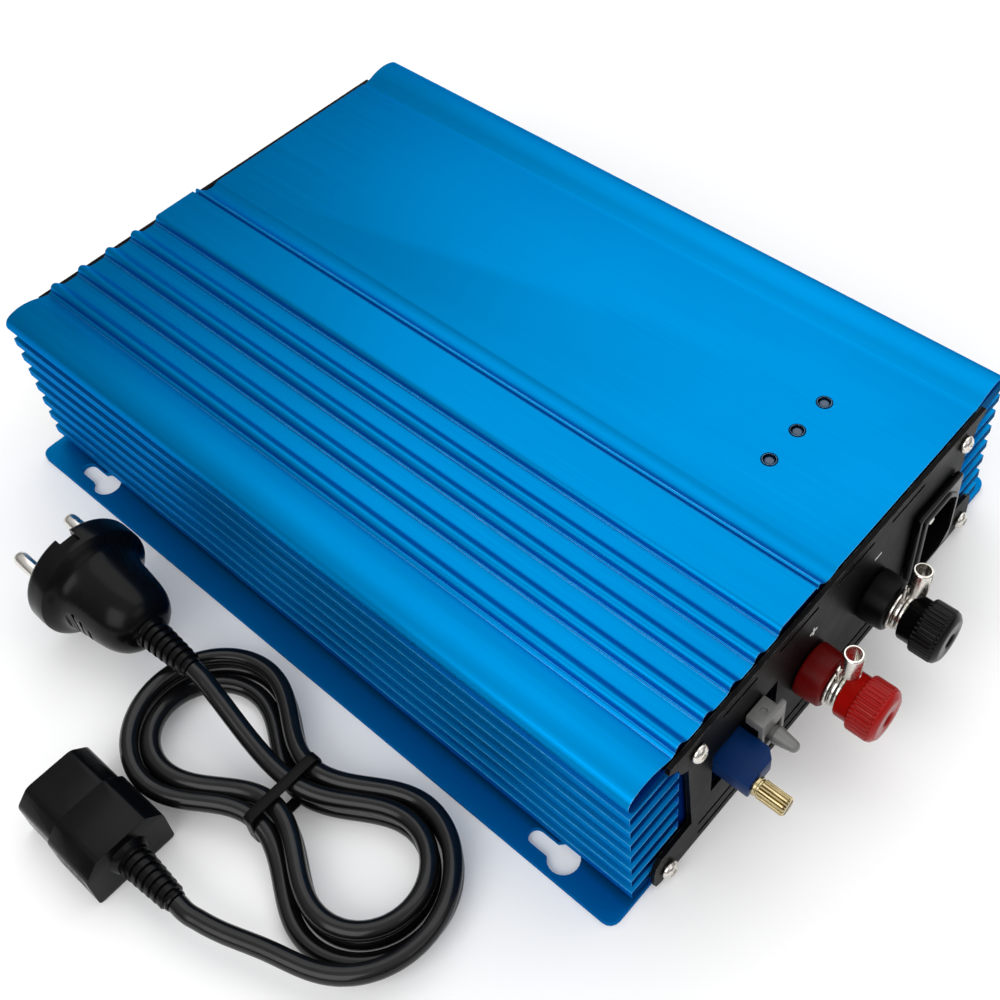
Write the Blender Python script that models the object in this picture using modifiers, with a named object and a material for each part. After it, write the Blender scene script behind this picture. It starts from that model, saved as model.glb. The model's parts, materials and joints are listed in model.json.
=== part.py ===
"""Micro inverter: a finned aluminium case on a flanged base plate, with two binding posts, a mains inlet,
a start switch and a power dial on its front panel, a fan in its rear panel, and a loose mains lead.

Frame: +Z up, the front panel faces -Y, and the origin is the middle of the base plate's underside.
"""

import math

import bpy
import bmesh
from mathutils import Matrix, Vector

MM = 0.001
GAP = 0.3 * MM

# Case extrusion, a section in X and Z that runs along Y
CASE_LENGTH = 260 * MM
WALL_OUTER = 69 * MM
WALL_INNER = 63.6 * MM
CASE_BOTTOM = 2.1 * MM
DECK_UNDERSIDE = 57 * MM
RIDGE_TOP = 63.0 * MM
RIDGE_NOSES = (-69.7, -58.8, -47.7, -37.0)
BAND_START = -26.3
BAND_END = -10.4
FIN_COUNT = 7
FIN_PITCH = 7.3 * MM
FIN_THICKNESS = 3.3 * MM
FIN_TOP = 52.8 * MM
FIN_REACH = 88.5 * MM
FOOT_REACH = 80 * MM
INNER_FOOT = 55 * MM
INNER_FOOT_TOP = 7 * MM
PORT_CORNER = (60.5 * MM, 50.5 * MM)

# Base plate
BASE_WIDTH = 194 * MM
BASE_THICKNESS = 1.8 * MM
BASE_CORNER = 3.5 * MM
KEYHOLE_X = 90.6 * MM
KEYHOLE_YS = (-107.4 * MM, 100.4 * MM)
KEYHOLE_HEAD = 4.8 * MM
KEYHOLE_SLOT = 2.5 * MM
KEYHOLE_LENGTH = 10 * MM
BASE_SCREW_X = 59.5 * MM
BASE_SCREW_Y = 112 * MM

# End panels
PANEL_THICKNESS = 1.5 * MM
PANEL_BACK = CASE_LENGTH / 2 + GAP
PANEL_FACE = PANEL_BACK + PANEL_THICKNESS
TOP_SCREW = (64 * MM, 54 * MM)
BOTTOM_SCREW = (75.4 * MM, 5 * MM)
SCREW_HOLE = 1.8 * MM

# Binding posts
POST_Z = 27.5 * MM
POSTS = {"red": (-12 * MM, 0.0), "black": (20 * MM, 8.0)}
STUD_RADIUS = 3 * MM
STUD_HOLE = 3.4 * MM
SOCKET_RADIUS = 2 * MM
BUSH_LENGTH = 8.4 * MM
WASHER_THICKNESS = 0.8 * MM
LUG_THICKNESS = 1.2 * MM
BARREL_RADIUS = 3 * MM
BARREL_BORE = 2.3 * MM
BARREL_BOTTOM = 10.6 * MM
BARREL_TOP = 20 * MM
CAP_COLLAR = 7.3 * MM
CAP_COLLAR_LENGTH = 4.6 * MM
CAP_GRIP = 8.6 * MM
CAP_LENGTH = 14 * MM
CAP_RIBS = 26

# Mains inlet, its long side upright
INLET_CENTRE = (51.6 * MM, 26.8 * MM)
INLET_FRAME = (24 * MM, 32 * MM)
INLET_BODY = (20.6 * MM, 28.6 * MM)
INLET_CAVITY = (16.5 * MM, 24.5 * MM)
INLET_PROUD = 3 * MM
INLET_DEPTH = 20 * MM
CAVITY_DEPTH = 15 * MM
PIN_SPREAD = 7 * MM
PIN_SIZE = (4 * MM, 2 * MM)

# Start switch and power dial, in one window of the front panel
WINDOW = (-57 * MM, -28 * MM, 21 * MM, 41 * MM)
DIAL_BODY = (13 * MM, 6 * MM)
DIAL_BODY_CENTRE = (-50 * MM, 34.3 * MM)
DIAL_BODY_FRONT = -143 * MM
DIAL_AXIS = (-53.3 * MM, 34.3 * MM)
DIAL_SHAFT = 2.9 * MM
DIAL_SHAFT_END = -153.4 * MM
SWITCH_CENTRE = (-38 * MM, 34 * MM)
SWITCH_FRONT = -136 * MM
LEVER_PIVOT = -133.5 * MM
LEVER_RADIUS = 2.2 * MM
LEVER_END = -146 * MM

# Lamps in the deck
LAMP_XS = (18.8 * MM, 32.7 * MM, 46.6 * MM)
LAMP_Y = -94 * MM
LAMP_HOLE = 2.25 * MM
LAMP_RADIUS = 1.9 * MM
LAMP_BASE = 50 * MM

# Inside
BOARD_SIZE = (114 * MM, 200 * MM, 1.6 * MM)
BOARD_BOTTOM = 12 * MM
STANDOFF_AT = (48 * MM, 88 * MM)
TRANSFORMER_Y = 20 * MM
CORE_SIZE = (48 * MM, 34 * MM)

# Rear fan
FAN_Z = 31 * MM
FAN_SIZE = 50 * MM
FAN_DEPTH = 14 * MM
FAN_BORE = 23 * MM
FAN_BLADES = 7

# Mains lead
CORD_RADIUS = 2.8 * MM
LANE = 5.9 * MM
HANK_CENTRE = (-129 * MM, -37 * MM)
HANK_HALF_RUN = 36 * MM
HANK_INNER_LOOP = 17 * MM
HANK_BOTTOM = 1.5 * MM
HANK_TOP = HANK_BOTTOM + LANE + 2 * CORD_RADIUS
CONNECTOR_X = -168.6 * MM
CONNECTOR_FACE = 16 * MM
CONNECTOR_LENGTH = 34 * MM
CONNECTOR_SIZE = (26 * MM, 18.5 * MM)
PLUG_X = -122 * MM
PLUG_Z = 18.9 * MM
PLUG_FACE = 65 * MM

parts = None
cutters = None


def clear_scene():
    for obj in list(bpy.data.objects):
        bpy.data.objects.remove(obj, do_unlink=True)


def new_collection(name):
    made = bpy.data.collections.new(name)
    bpy.context.scene.collection.children.link(made)
    return made


def material(name, colour, roughness, metallic=0.0):
    found = bpy.data.materials.get(name)
    if found:
        return found
    made = bpy.data.materials.new(name)
    made.use_nodes = True
    shader = made.node_tree.nodes["Principled BSDF"]
    shader.inputs["Base Color"].default_value = (*colour, 1.0)
    shader.inputs["Roughness"].default_value = roughness
    shader.inputs["Metallic"].default_value = metallic
    made.diffuse_color = (*colour, 1.0)
    return made


def blue_aluminium():
    return material("blue_anodised", (0.0, 0.14, 0.55), 0.3, 1.0)


def black_paint():
    return material("black_paint", (0.02, 0.02, 0.02), 0.4)


def nickel():
    return material("nickel", (0.72, 0.7, 0.66), 0.22, 1.0)


def brass():
    return material("brass", (0.7, 0.55, 0.28), 0.3, 1.0)


def black_plastic():
    return material("black_plastic", (0.015, 0.015, 0.017), 0.35)


def grey_plastic():
    return material("grey_plastic", (0.3, 0.3, 0.3), 0.4)


def place(name, mesh, finish=None, location=(0, 0, 0), rotation=(0, 0, 0), is_cutter=False):
    obj = bpy.data.objects.new(name, mesh)
    obj.location = location
    obj.rotation_euler = rotation
    (cutters if is_cutter else parts).objects.link(obj)
    if is_cutter:
        obj.hide_render = True
        obj.display_type = "WIRE"
    if finish:
        mesh.materials.clear()
        mesh.materials.append(finish)
    return obj


def round_off(obj, width, segments=2, angle=40):
    bevel = obj.modifiers.new("edges", "BEVEL")
    bevel.width = width
    bevel.segments = segments
    bevel.limit_method = "ANGLE"
    bevel.angle_limit = math.radians(angle)


def box(name, low, high, finish=None, bevel=0.0, is_cutter=False):
    mesh = bpy.data.meshes.new(name)
    shape = bmesh.new()
    bmesh.ops.create_cube(shape, size=1.0)
    size = Vector(high) - Vector(low)
    bmesh.ops.scale(shape, vec=size, verts=shape.verts)
    shape.to_mesh(mesh)
    shape.free()
    obj = place(name, mesh, finish, (Vector(high) + Vector(low)) / 2, is_cutter=is_cutter)
    if bevel:
        round_off(obj, bevel)
    return obj


def cylinder(name, radius, low, high, finish=None, rotation=(0, 0, 0), sides=32, top_radius=None,
             is_cutter=False):
    """A cylinder or cone from the point low to the point high, which rotation must line up with local Z."""
    mesh = bpy.data.meshes.new(name)
    shape = bmesh.new()
    low = Vector(low)
    high = Vector(high)
    bmesh.ops.create_cone(shape, cap_ends=True, segments=sides, radius1=radius,
                          radius2=radius if top_radius is None else top_radius, depth=(high - low).length)
    shape.to_mesh(mesh)
    shape.free()
    obj = place(name, mesh, finish, (low + high) / 2, rotation, is_cutter)
    mesh.shade_smooth()
    mesh.set_sharp_from_angle(angle=math.radians(40))
    return obj


OUT_FRONT = (math.radians(90), 0, 0)   # local Z becomes -Y
OUT_REAR = (math.radians(-90), 0, 0)   # local Z becomes +Y


def turned(name, profile, finish=None, location=(0, 0, 0), rotation=(0, 0, 0), steps=32, is_cutter=False):
    """A turned shape: profile lists (radius, height) in mm from its top down its outer side."""
    mesh = bpy.data.meshes.new(name)
    points = [(r * MM, 0, h * MM) for r, h in profile]
    edges = [(i, i + 1) for i in range(len(points) - 1)]
    mesh.from_pydata(points, edges, [])
    obj = place(name, mesh, finish, location, rotation, is_cutter)
    screw = obj.modifiers.new("turn", "SCREW")
    screw.steps = steps
    screw.render_steps = steps
    screw.use_merge_vertices = True
    screw.merge_threshold = 0.00001
    screw.use_smooth_shade = True
    return obj


def circle(centre, radius, sides=24, start=0.0, turn=2 * math.pi):
    """Points of a circle or, with turn less than a whole one, of an arc with both of its ends."""
    whole = abs(turn) > 2 * math.pi - 1e-6
    count = sides if whole else sides + 1
    return [(centre[0] + radius * math.cos(start + turn * i / sides),
             centre[1] + radius * math.sin(start + turn * i / sides)) for i in range(count)]


def rectangle(centre, size):
    x, y = centre
    w, h = size[0] / 2, size[1] / 2
    return [(x - w, y - h), (x + w, y - h), (x + w, y + h), (x - w, y + h)]


def flat_shape(name, outlines, thickness):
    """A flat shape in local X and Y with holes, made solid by thickness either side of Z = 0, as a welded mesh."""
    curve = bpy.data.curves.new(name, "CURVE")
    curve.dimensions = "2D"
    curve.fill_mode = "BOTH"
    curve.extrude = thickness / 2
    for outline in outlines:
        spline = curve.splines.new("POLY")
        spline.points.add(len(outline) - 1)
        spline.use_cyclic_u = True
        for point, (x, y) in zip(spline.points, outline):
            point.co = (x, y, 0, 1)
    guide = bpy.data.objects.new(name + "_guide", curve)
    bpy.context.scene.collection.objects.link(guide)
    bpy.context.view_layer.update()
    graph = bpy.context.evaluated_depsgraph_get()
    mesh = bpy.data.meshes.new_from_object(guide.evaluated_get(graph))
    bpy.data.objects.remove(guide, do_unlink=True)
    shape = bmesh.new()
    shape.from_mesh(mesh)
    bmesh.ops.remove_doubles(shape, verts=shape.verts, dist=0.000001)
    bmesh.ops.recalc_face_normals(shape, faces=shape.faces)
    shape.to_mesh(mesh)
    shape.free()
    return mesh


def upright(name, outlines, y_low, y_high, finish=None, is_cutter=False):
    """A flat shape drawn in X and Z, made solid from y_low to y_high."""
    mesh = flat_shape(name, outlines, y_high - y_low)
    return place(name, mesh, finish, (0, (y_low + y_high) / 2, 0), OUT_FRONT, is_cutter)


def lying(name, outlines, z_low, z_high, finish=None, is_cutter=False):
    """A flat shape drawn in X and Y, made solid from z_low to z_high."""
    mesh = flat_shape(name, outlines, z_high - z_low)
    return place(name, mesh, finish, (0, 0, (z_low + z_high) / 2), is_cutter=is_cutter)


def boolean(obj, other, operation="DIFFERENCE"):
    modifier = obj.modifiers.new(operation.lower(), "BOOLEAN")
    modifier.object = other
    modifier.operation = operation
    return modifier


def mirrored(points):
    return [(-x, y) for x, y in reversed(points)]


def ridge(nose):
    """One step of the deck: a rounded nose that faces -X and a quick fall behind it, in mm."""
    return [(nose - 0.7, 60.0), (nose - 0.9, 61.2), (nose - 0.6, 62.3), (nose + 0.2, 62.95),
            (nose + 1.2, 62.9), (nose + 2.3, 62.0), (nose + 3.4, 60.8), (nose + 4.8, 60.3)]


def case_side():
    """Left side of the section, from the foot up over the fins to the rolled lip."""
    points = [(-INNER_FOOT, CASE_BOTTOM), (-FOOT_REACH, CASE_BOTTOM)]
    for i in reversed(range(FIN_COUNT)):
        top = FIN_TOP - i * FIN_PITCH
        root = -FOOT_REACH if i == FIN_COUNT - 1 else -WALL_OUTER
        points += [(root, top - FIN_THICKNESS), (-FIN_REACH, top - FIN_THICKNESS), (-FIN_REACH, top),
                   (-WALL_OUTER, top)]
    lip = [(-69, 54.6), (-86.6, 54.6), (-88.1, 56.1), (-88.9, 58.2), (-88.6, 60.0), (-87.3, 61.5),
           (-84.8, 62.4), (-81.5, 62.7), (-77.8, 62.1), (-74.6, 61.0), (-72, 60.2)]
    return points + [(x * MM, z * MM) for x, z in lip]


def deck():
    """Top of the section, from the left lip to the right one: four ridges, a raised band and a plain deck."""
    points = []
    for nose in RIDGE_NOSES:
        points += ridge(nose)
    points += ridge(BAND_START)[:4]
    points += [(BAND_END, 63.0), (BAND_END + 0.3, 61.9), (BAND_END + 0.9, 61.9), (BAND_END + 1.2, 63.1),
               (BAND_END + 1.9, 63.1), (BAND_END + 3.0, 61.6), (BAND_END + 4.8, 60.2),
               (BAND_END + 7.0, 59.7), (BAND_END + 9.0, 60.0), (BAND_END + 10.6, 60.7)]
    points += [(70.0, 60.7)]
    return [(x * MM, z * MM) for x, z in points]


def case_inside():
    """The inside of the section, from the right foot round to the left one."""
    corner_x, corner_z = PORT_CORNER
    half = [(INNER_FOOT, INNER_FOOT_TOP), (WALL_INNER, INNER_FOOT_TOP), (WALL_INNER, corner_z),
            (corner_x, corner_z), (corner_x, DECK_UNDERSIDE)]
    return half + mirrored(half)


def make_case():
    outline = case_side() + deck() + mirrored(case_side()) + case_inside()
    ports = [circle((side * x, z), SCREW_HOLE, 16) for side in (-1, 1) for x, z in (TOP_SCREW, BOTTOM_SCREW)]
    case = upright("case_extrusion", [outline] + ports, -CASE_LENGTH / 2, CASE_LENGTH / 2, blue_aluminium())
    for i, x in enumerate(LAMP_XS):
        drill = cylinder(f"lamp_drill_{i + 1}", LAMP_HOLE, (x, LAMP_Y, DECK_UNDERSIDE - 2 * MM),
                         (x, LAMP_Y, RIDGE_TOP + 2 * MM), sides=24, is_cutter=True)
        boolean(case, drill)
    for i, (x, y) in enumerate(base_screw_places()):
        drill = cylinder(f"foot_drill_{i + 1}", SCREW_HOLE, (x, y, 0), (x, y, INNER_FOOT_TOP + 2 * MM),
                         sides=20, is_cutter=True)
        boolean(case, drill)


def base_screw_places():
    return [(side * BASE_SCREW_X, end * BASE_SCREW_Y) for side in (-1, 1) for end in (-1, 1)]


def rounded_rectangle(width, height, corner, sides=4):
    x, y = width / 2 - corner, height / 2 - corner
    points = []
    for i, (sx, sy) in enumerate(((1, 1), (-1, 1), (-1, -1), (1, -1))):
        points += circle((sx * x, sy * y), corner, sides, i * math.pi / 2, math.pi / 2)
    return points


def keyhole(x, y):
    """A round head with a slot that runs from it towards +Y and ends in a half circle."""
    half_angle = math.asin(KEYHOLE_SLOT / KEYHOLE_HEAD)
    head = circle((x, y), KEYHOLE_HEAD, 20, math.pi / 2 + half_angle, 2 * math.pi - 2 * half_angle)
    end = circle((x, y + KEYHOLE_LENGTH), KEYHOLE_SLOT, 8, 0, math.pi)
    return head + end


def make_base_plate():
    outlines = [rounded_rectangle(BASE_WIDTH, CASE_LENGTH, BASE_CORNER)]
    outlines += [keyhole(side * KEYHOLE_X, y) for side in (-1, 1) for y in KEYHOLE_YS]
    plate = lying("base_plate", outlines, 0, BASE_THICKNESS, blue_aluminium())
    countersink = [(0, 3), (1.8, 3), (1.8, 1.5), (3.4, -0.2), (0, -0.2)]
    screw = [(0, 8.5), (1.2, 8.5), (1.5, 8.2), (1.5, 1.6), (2.95, 0.15), (0, 0.15)]
    for i, (x, y) in enumerate(base_screw_places()):
        cutter = turned(f"countersink_{i + 1}", countersink, location=(x, y, 0), steps=24, is_cutter=True)
        boolean(plate, cutter)
        turned(f"base_screw_{i + 1}", screw, nickel(), (x, y, 0), steps=20)


def panel_outline():
    """An end panel's edge: each side is notched under the lip and has an ear over the lower screw."""
    side = [(74.6, 60.0), (75.5, 58.4), (71.6, 55.4), (70.6, 51.6), (67.4, 49), (65.0, 15), (78, 14.2),
            (80.2, 12.4), (81, 10), (81, 3), (80.2, 1.2), (78.4, 0.5)]
    right = [(x * MM, z * MM) for x, z in side]
    return right + mirrored(right)


def panel_screw_places():
    return [(side * x, z) for side in (-1, 1) for x, z in (TOP_SCREW, BOTTOM_SCREW)]


def slot(x_low, x_high, z, height=1.5 * MM):
    middle = ((x_low + x_high) / 2, z)
    return rectangle(middle, (x_high - x_low, height))


def make_front_panel():
    holes = [circle(at, SCREW_HOLE, 16) for at in panel_screw_places()]
    holes += [circle((x, POST_Z), STUD_HOLE, 24) for x, _ in POSTS.values()]
    clear = 2 * GAP
    holes += [rectangle(INLET_CENTRE, (INLET_BODY[0] + clear, INLET_BODY[1] + clear))]
    x_low, x_high, z_low, z_high = WINDOW
    holes += [rectangle(((x_low + x_high) / 2, (z_low + z_high) / 2), (x_high - x_low, z_high - z_low))]
    for low, high in ((-54, -38.7), (-28.8, -11), (-1.5, 16), (25, 42)):
        holes += [slot(low * MM, high * MM, 56.4 * MM)]
    for z in (9.5, 4.0):
        holes += [slot(-62 * MM, 62 * MM, z * MM, 1.6 * MM)]
    upright("front_panel", [panel_outline()] + holes, -PANEL_FACE, -PANEL_BACK, black_paint())


def ring_slot(centre, inner, outer, start, turn, sides=6):
    """A slot bent round a centre."""
    return circle(centre, outer, sides, start, turn) + circle(centre, inner, sides, start + turn, -turn)


def make_rear_panel():
    holes = [circle(at, SCREW_HOLE, 16) for at in panel_screw_places()]
    for inner in (7, 12.5, 18):
        bridge = math.radians(70 / inner + 6)
        for i in range(4):
            start = i * math.pi / 2 + math.pi / 4 + bridge / 2
            holes += [ring_slot((0, FAN_Z), inner * MM, (inner + 3.6) * MM, start, math.pi / 2 - bridge)]
    upright("rear_panel", [panel_outline()] + holes, PANEL_BACK, PANEL_FACE, black_paint())


def make_panel_screws():
    profile = [(0, 2.5), (1.4, 2.45), (2.3, 2.0), (2.9, 1.1), (2.9, 0.3), (1.5, 0.3), (1.5, -11), (1.1, -11.5),
               (0, -11.5)]
    for i, (x, z) in enumerate(panel_screw_places()):
        turned(f"front_screw_{i + 1}", profile, nickel(), (x, -PANEL_FACE, z), OUT_FRONT, steps=14)
        turned(f"rear_screw_{i + 1}", profile, nickel(), (x, PANEL_FACE, z), OUT_REAR, steps=14)


def make_bush(colour, finish, x):
    """The fat insulating bush between the panel and the washer, narrowing a little outwards."""
    length = BUSH_LENGTH / MM
    bore = STUD_HOLE / MM
    profile = [(bore, length), (7.6, length), (7.9, length - 0.5), (8.5, 1.0), (8.5, 0.3), (bore, 0.3),
               (bore, length)]
    turned(f"{colour}_post_bush", profile, finish, (x, -PANEL_FACE, POST_Z), OUT_FRONT, steps=28)


def make_stud(colour, x):
    """The post's stud, with a socket for a test plug in its front end."""
    r = STUD_RADIUS / MM
    socket = SOCKET_RADIUS / MM
    profile = [(0, 8.6), (socket, 8.6), (socket, 23.6), (r - 0.4, 23.6), (r, 23.2), (r, -13.6), (r - 0.4, -14),
               (0, -14)]
    turned(f"{colour}_post_stud", profile, nickel(), (x, -PANEL_FACE, POST_Z), OUT_FRONT, steps=24)


def make_lock_nut(colour, x):
    outline = circle((0, 0), 5.6 * MM, 6)
    mesh = flat_shape(f"{colour}_post_nut", [outline, circle((0, 0), STUD_HOLE, 24)], 4 * MM)
    place(f"{colour}_post_nut", mesh, nickel(), (x, -PANEL_BACK + GAP + 2 * MM, POST_Z), OUT_FRONT)


def make_washer(colour, x, y):
    mesh = flat_shape(f"{colour}_post_washer", [circle((0, 0), 6.6 * MM, 28), circle((0, 0), STUD_HOLE, 24)],
                      WASHER_THICKNESS)
    place(f"{colour}_post_washer", mesh, nickel(), (x, y, POST_Z), OUT_FRONT)


def make_ring_lug(colour, x, y, turn):
    """A crimp lug: a ring round the stud, a tongue, and a barrel that stands up and is open at its top."""
    half_tongue = 2.4 * MM
    start = math.pi / 2 + math.asin(half_tongue / (6 * MM))
    ring = circle((0, 0), 6 * MM, 28, start, 2 * math.pi - 2 * (start - math.pi / 2))
    tongue = [(half_tongue, BARREL_BOTTOM + 2 * MM), (-half_tongue, BARREL_BOTTOM + 2 * MM)]
    name = f"{colour}_ring_lug"
    mesh = flat_shape(name, [ring + tongue, circle((0, 0), STUD_HOLE, 24)], LUG_THICKNESS)
    rotation = (math.radians(90), math.radians(turn), 0)
    lug = place(name, mesh, nickel(), (x, y, POST_Z), rotation)
    turn_about_post = Matrix.Translation((x, y, POST_Z)) @ Matrix.Rotation(math.radians(turn), 4, "Y")
    forward = -(BARREL_RADIUS - LUG_THICKNESS / 2)
    for part, radius, low, high, operation in (
        ("barrel", BARREL_RADIUS, BARREL_BOTTOM, BARREL_TOP, "UNION"),
        ("bore", BARREL_BORE, BARREL_BOTTOM - MM, BARREL_TOP + MM, "DIFFERENCE"),
    ):
        tool = cylinder(f"{colour}_lug_{part}", radius, (0, 0, low), (0, 0, high), sides=24, is_cutter=True)
        tool.location = turn_about_post @ Vector((0, forward, (low + high) / 2))
        tool.rotation_euler = (0, math.radians(turn), 0)
        boolean(lug, tool, operation)


def ribbed_circle(radius, depth, ribs):
    """A circle with square ribs all round it, four points a rib."""
    points = []
    for i in range(ribs):
        for part, r in ((0.0, radius), (0.44, radius), (0.56, radius - depth), (0.94, radius - depth)):
            angle = 2 * math.pi * (i + part) / ribs
            points.append((r * math.cos(angle), r * math.sin(angle)))
    return points


def make_cap(colour, finish, x, y):
    """The screw cap: a plain collar, a ribbed grip with an eased rim, a bore for the stud and a plug hole."""
    name = f"{colour}_cap"
    grip_length = CAP_LENGTH - CAP_COLLAR_LENGTH
    mesh = flat_shape(name, [ribbed_circle(CAP_GRIP, 0.45 * MM, CAP_RIBS)], grip_length)
    mesh.transform(Matrix.Translation((0, 0, CAP_COLLAR_LENGTH + grip_length / 2)))
    cap = place(name, mesh, finish, (x, y, POST_Z), OUT_FRONT)
    end = CAP_LENGTH / MM
    envelope = [(0, end + 1), (7.0, end + 1), (7.0, end), (8.8, end - 1.6), (8.8, 4.8), (7.6, 4.2), (7.6, 1),
                (0, 1)]
    rim = turned(f"{colour}_cap_rim", envelope, location=(x, y, POST_Z), rotation=OUT_FRONT, steps=36,
                 is_cutter=True)
    boolean(cap, rim, "INTERSECT")
    collar = CAP_COLLAR / MM
    neck = turned(f"{colour}_cap_neck", [(0, 6), (collar, 6), (collar, 0.5), (collar - 0.4, 0), (0, 0)],
                  location=(x, y, POST_Z), rotation=OUT_FRONT, steps=36, is_cutter=True)
    boolean(cap, neck, "UNION")
    bore = turned(f"{colour}_cap_bore", [(0, 11), (3.4, 11), (3.4, -1), (0, -1)], location=(x, y, POST_Z),
                  rotation=OUT_FRONT, steps=24, is_cutter=True)
    boolean(cap, bore)
    hole = cylinder(f"{colour}_cap_hole", SOCKET_RADIUS + GAP, (x, y - 10 * MM, POST_Z),
                    (x, y - CAP_LENGTH - MM, POST_Z), rotation=OUT_FRONT, sides=22, is_cutter=True)
    boolean(cap, hole)


def make_posts():
    finishes = {"red": material("red_plastic", (0.48, 0.015, 0.008), 0.3), "black": black_plastic()}
    for colour, (x, turn) in POSTS.items():
        finish = finishes[colour]
        make_bush(colour, finish, x)
        make_stud(colour, x)
        make_lock_nut(colour, x)
        washer_y = -PANEL_FACE - BUSH_LENGTH - GAP - WASHER_THICKNESS / 2
        make_washer(colour, x, washer_y)
        lug_y = washer_y - WASHER_THICKNESS / 2 - GAP - LUG_THICKNESS / 2
        make_ring_lug(colour, x, lug_y, turn)
        make_cap(colour, finish, x, lug_y - LUG_THICKNESS / 2 - 1.6 * MM)


def cavity_outline(size, chamfer):
    """The socket's opening: its two corners on the +X side are cut off."""
    x, z = INLET_CENTRE
    w, h = size[0] / 2, size[1] / 2
    return [(x - w, z - h), (x + w - chamfer, z - h), (x + w, z - h + chamfer), (x + w, z + h - chamfer),
            (x + w - chamfer, z + h), (x - w, z + h)]


def pin_places():
    x, z = INLET_CENTRE
    return {"line": (x - 3.6 * MM, z + PIN_SPREAD), "earth": (x + 2 * MM, z),
            "neutral": (x - 3.6 * MM, z - PIN_SPREAD)}


def make_inlet():
    back = -PANEL_FACE + INLET_DEPTH
    front = -PANEL_FACE - GAP - INLET_PROUD
    frame_low = -PANEL_FACE - GAP
    housing = upright("inlet_housing", [rectangle(INLET_CENTRE, INLET_FRAME)], front, frame_low,
                      black_plastic())
    body = upright("inlet_body", [rectangle(INLET_CENTRE, INLET_BODY)], frame_low - MM, back, is_cutter=True)
    boolean(housing, body, "UNION")
    cavity = upright("inlet_cavity", [cavity_outline(INLET_CAVITY, 4.5 * MM)], front - MM,
                     front + CAVITY_DEPTH, is_cutter=True)
    boolean(housing, cavity)
    for name, (x, z) in pin_places().items():
        w, h = PIN_SIZE[0] / 2, PIN_SIZE[1] / 2
        hole = box(f"{name}_pin_hole", (x - w - GAP, front + CAVITY_DEPTH - MM, z - h - GAP),
                   (x + w + GAP, back + MM, z + h + GAP), is_cutter=True)
        boolean(housing, hole)
        box(f"inlet_{name}_pin", (x - w, front + 3 * MM, z - h), (x + w, back + 5 * MM, z + h), nickel(),
            0.4 * MM)


def make_dial():
    x, z = DIAL_BODY_CENTRE
    w, h = DIAL_BODY[0] / 2, DIAL_BODY[1] / 2
    finish = material("blue_plastic", (0.01, 0.05, 0.2), 0.35)
    chamfer = 2.6 * MM
    front = DIAL_BODY_FRONT
    back = -PANEL_BACK + 5 * MM
    outline = [(x - w, front), (x + w - chamfer, front), (x + w, front + chamfer), (x + w, back),
               (x - w, back)]
    body = lying("dial_body", [outline], z - h, z + h, finish)
    axis_x, axis_z = DIAL_AXIS
    bore = cylinder("dial_bore", 1.9 * MM, (axis_x, front + 5 * MM, axis_z), (axis_x, front - MM, axis_z),
                    rotation=OUT_FRONT, sides=20, is_cutter=True)
    boolean(body, bore)
    length = (front - DIAL_SHAFT_END) / MM
    r = DIAL_SHAFT / MM
    profile = [(0, length), (r - 0.4, length), (r, length - 0.5), (r, 0.5), (1.5, 0.5), (1.5, -4.4), (0, -4.4)]
    shaft = turned("dial_shaft", profile, brass(), (axis_x, front, axis_z), OUT_FRONT, steps=36)
    split = box("dial_split", (axis_x - 4 * MM, DIAL_SHAFT_END - MM, axis_z - 0.5 * MM),
                (axis_x + 4 * MM, DIAL_SHAFT_END + 7 * MM, axis_z + 0.5 * MM), is_cutter=True)
    boolean(shaft, split)


def make_switch():
    x, z = SWITCH_CENTRE
    front = SWITCH_FRONT
    body = box("switch_body", (x - 5 * MM, front, z - 5 * MM), (x + 5 * MM, -126 * MM, z + 5 * MM),
               black_plastic())
    pocket = box("switch_pocket", (x - 3.6 * MM, front - MM, z - 2.8 * MM),
                 (x + 3.6 * MM, front + 6.5 * MM, z + 2.8 * MM), is_cutter=True)
    boolean(body, pocket)
    plate_back = front - GAP
    plate_front = plate_back - 1.5 * MM
    frame = upright("switch_frame", [rectangle((x, z + 2 * MM), (10.6 * MM, 15 * MM)),
                                     rectangle((x, z), (7.8 * MM, 5.6 * MM))],
                    plate_front, plate_back, grey_plastic())
    tab = box("switch_tab", (x - 5.3 * MM, plate_back - MM, z + 5.6 * MM),
              (x + 3 * MM, -PANEL_FACE - GAP, z + 9.5 * MM), is_cutter=True)
    boolean(frame, tab, "UNION")
    tip = (LEVER_PIVOT - LEVER_END) / MM
    r = LEVER_RADIUS / MM
    profile = [(0, tip), (r * 0.5, tip - 0.25), (r * 0.87, tip - 0.9), (r, tip - 2), (r, -1.2), (r * 0.7, -1.9),
               (0, -2.2)]
    turned("switch_lever", profile, grey_plastic(), (x, LEVER_PIVOT, z), OUT_FRONT, steps=24)


def make_lamps():
    board_z = 48 * MM
    box("lamp_board", (LAMP_XS[0] - 8 * MM, LAMP_Y - 7 * MM, board_z), (LAMP_XS[2] + 8 * MM, LAMP_Y + 7 * MM,
        board_z + 1.6 * MM), material("circuit_green", (0.02, 0.16, 0.05), 0.45))
    finish = material("lamp_lens", (0.09, 0.1, 0.1), 0.2)
    r = LAMP_RADIUS / MM
    profile = [(0, 10.7), (r - 1, 10.5), (r - 0.3, 9.9), (r, 9.0), (r, 1.2), (r + 0.5, 1.2), (r + 0.5, 0), (0, 0)]
    for i, x in enumerate(LAMP_XS):
        turned(f"lamp_{i + 1}", profile, finish, (x, LAMP_Y, LAMP_BASE), steps=14)


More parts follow.
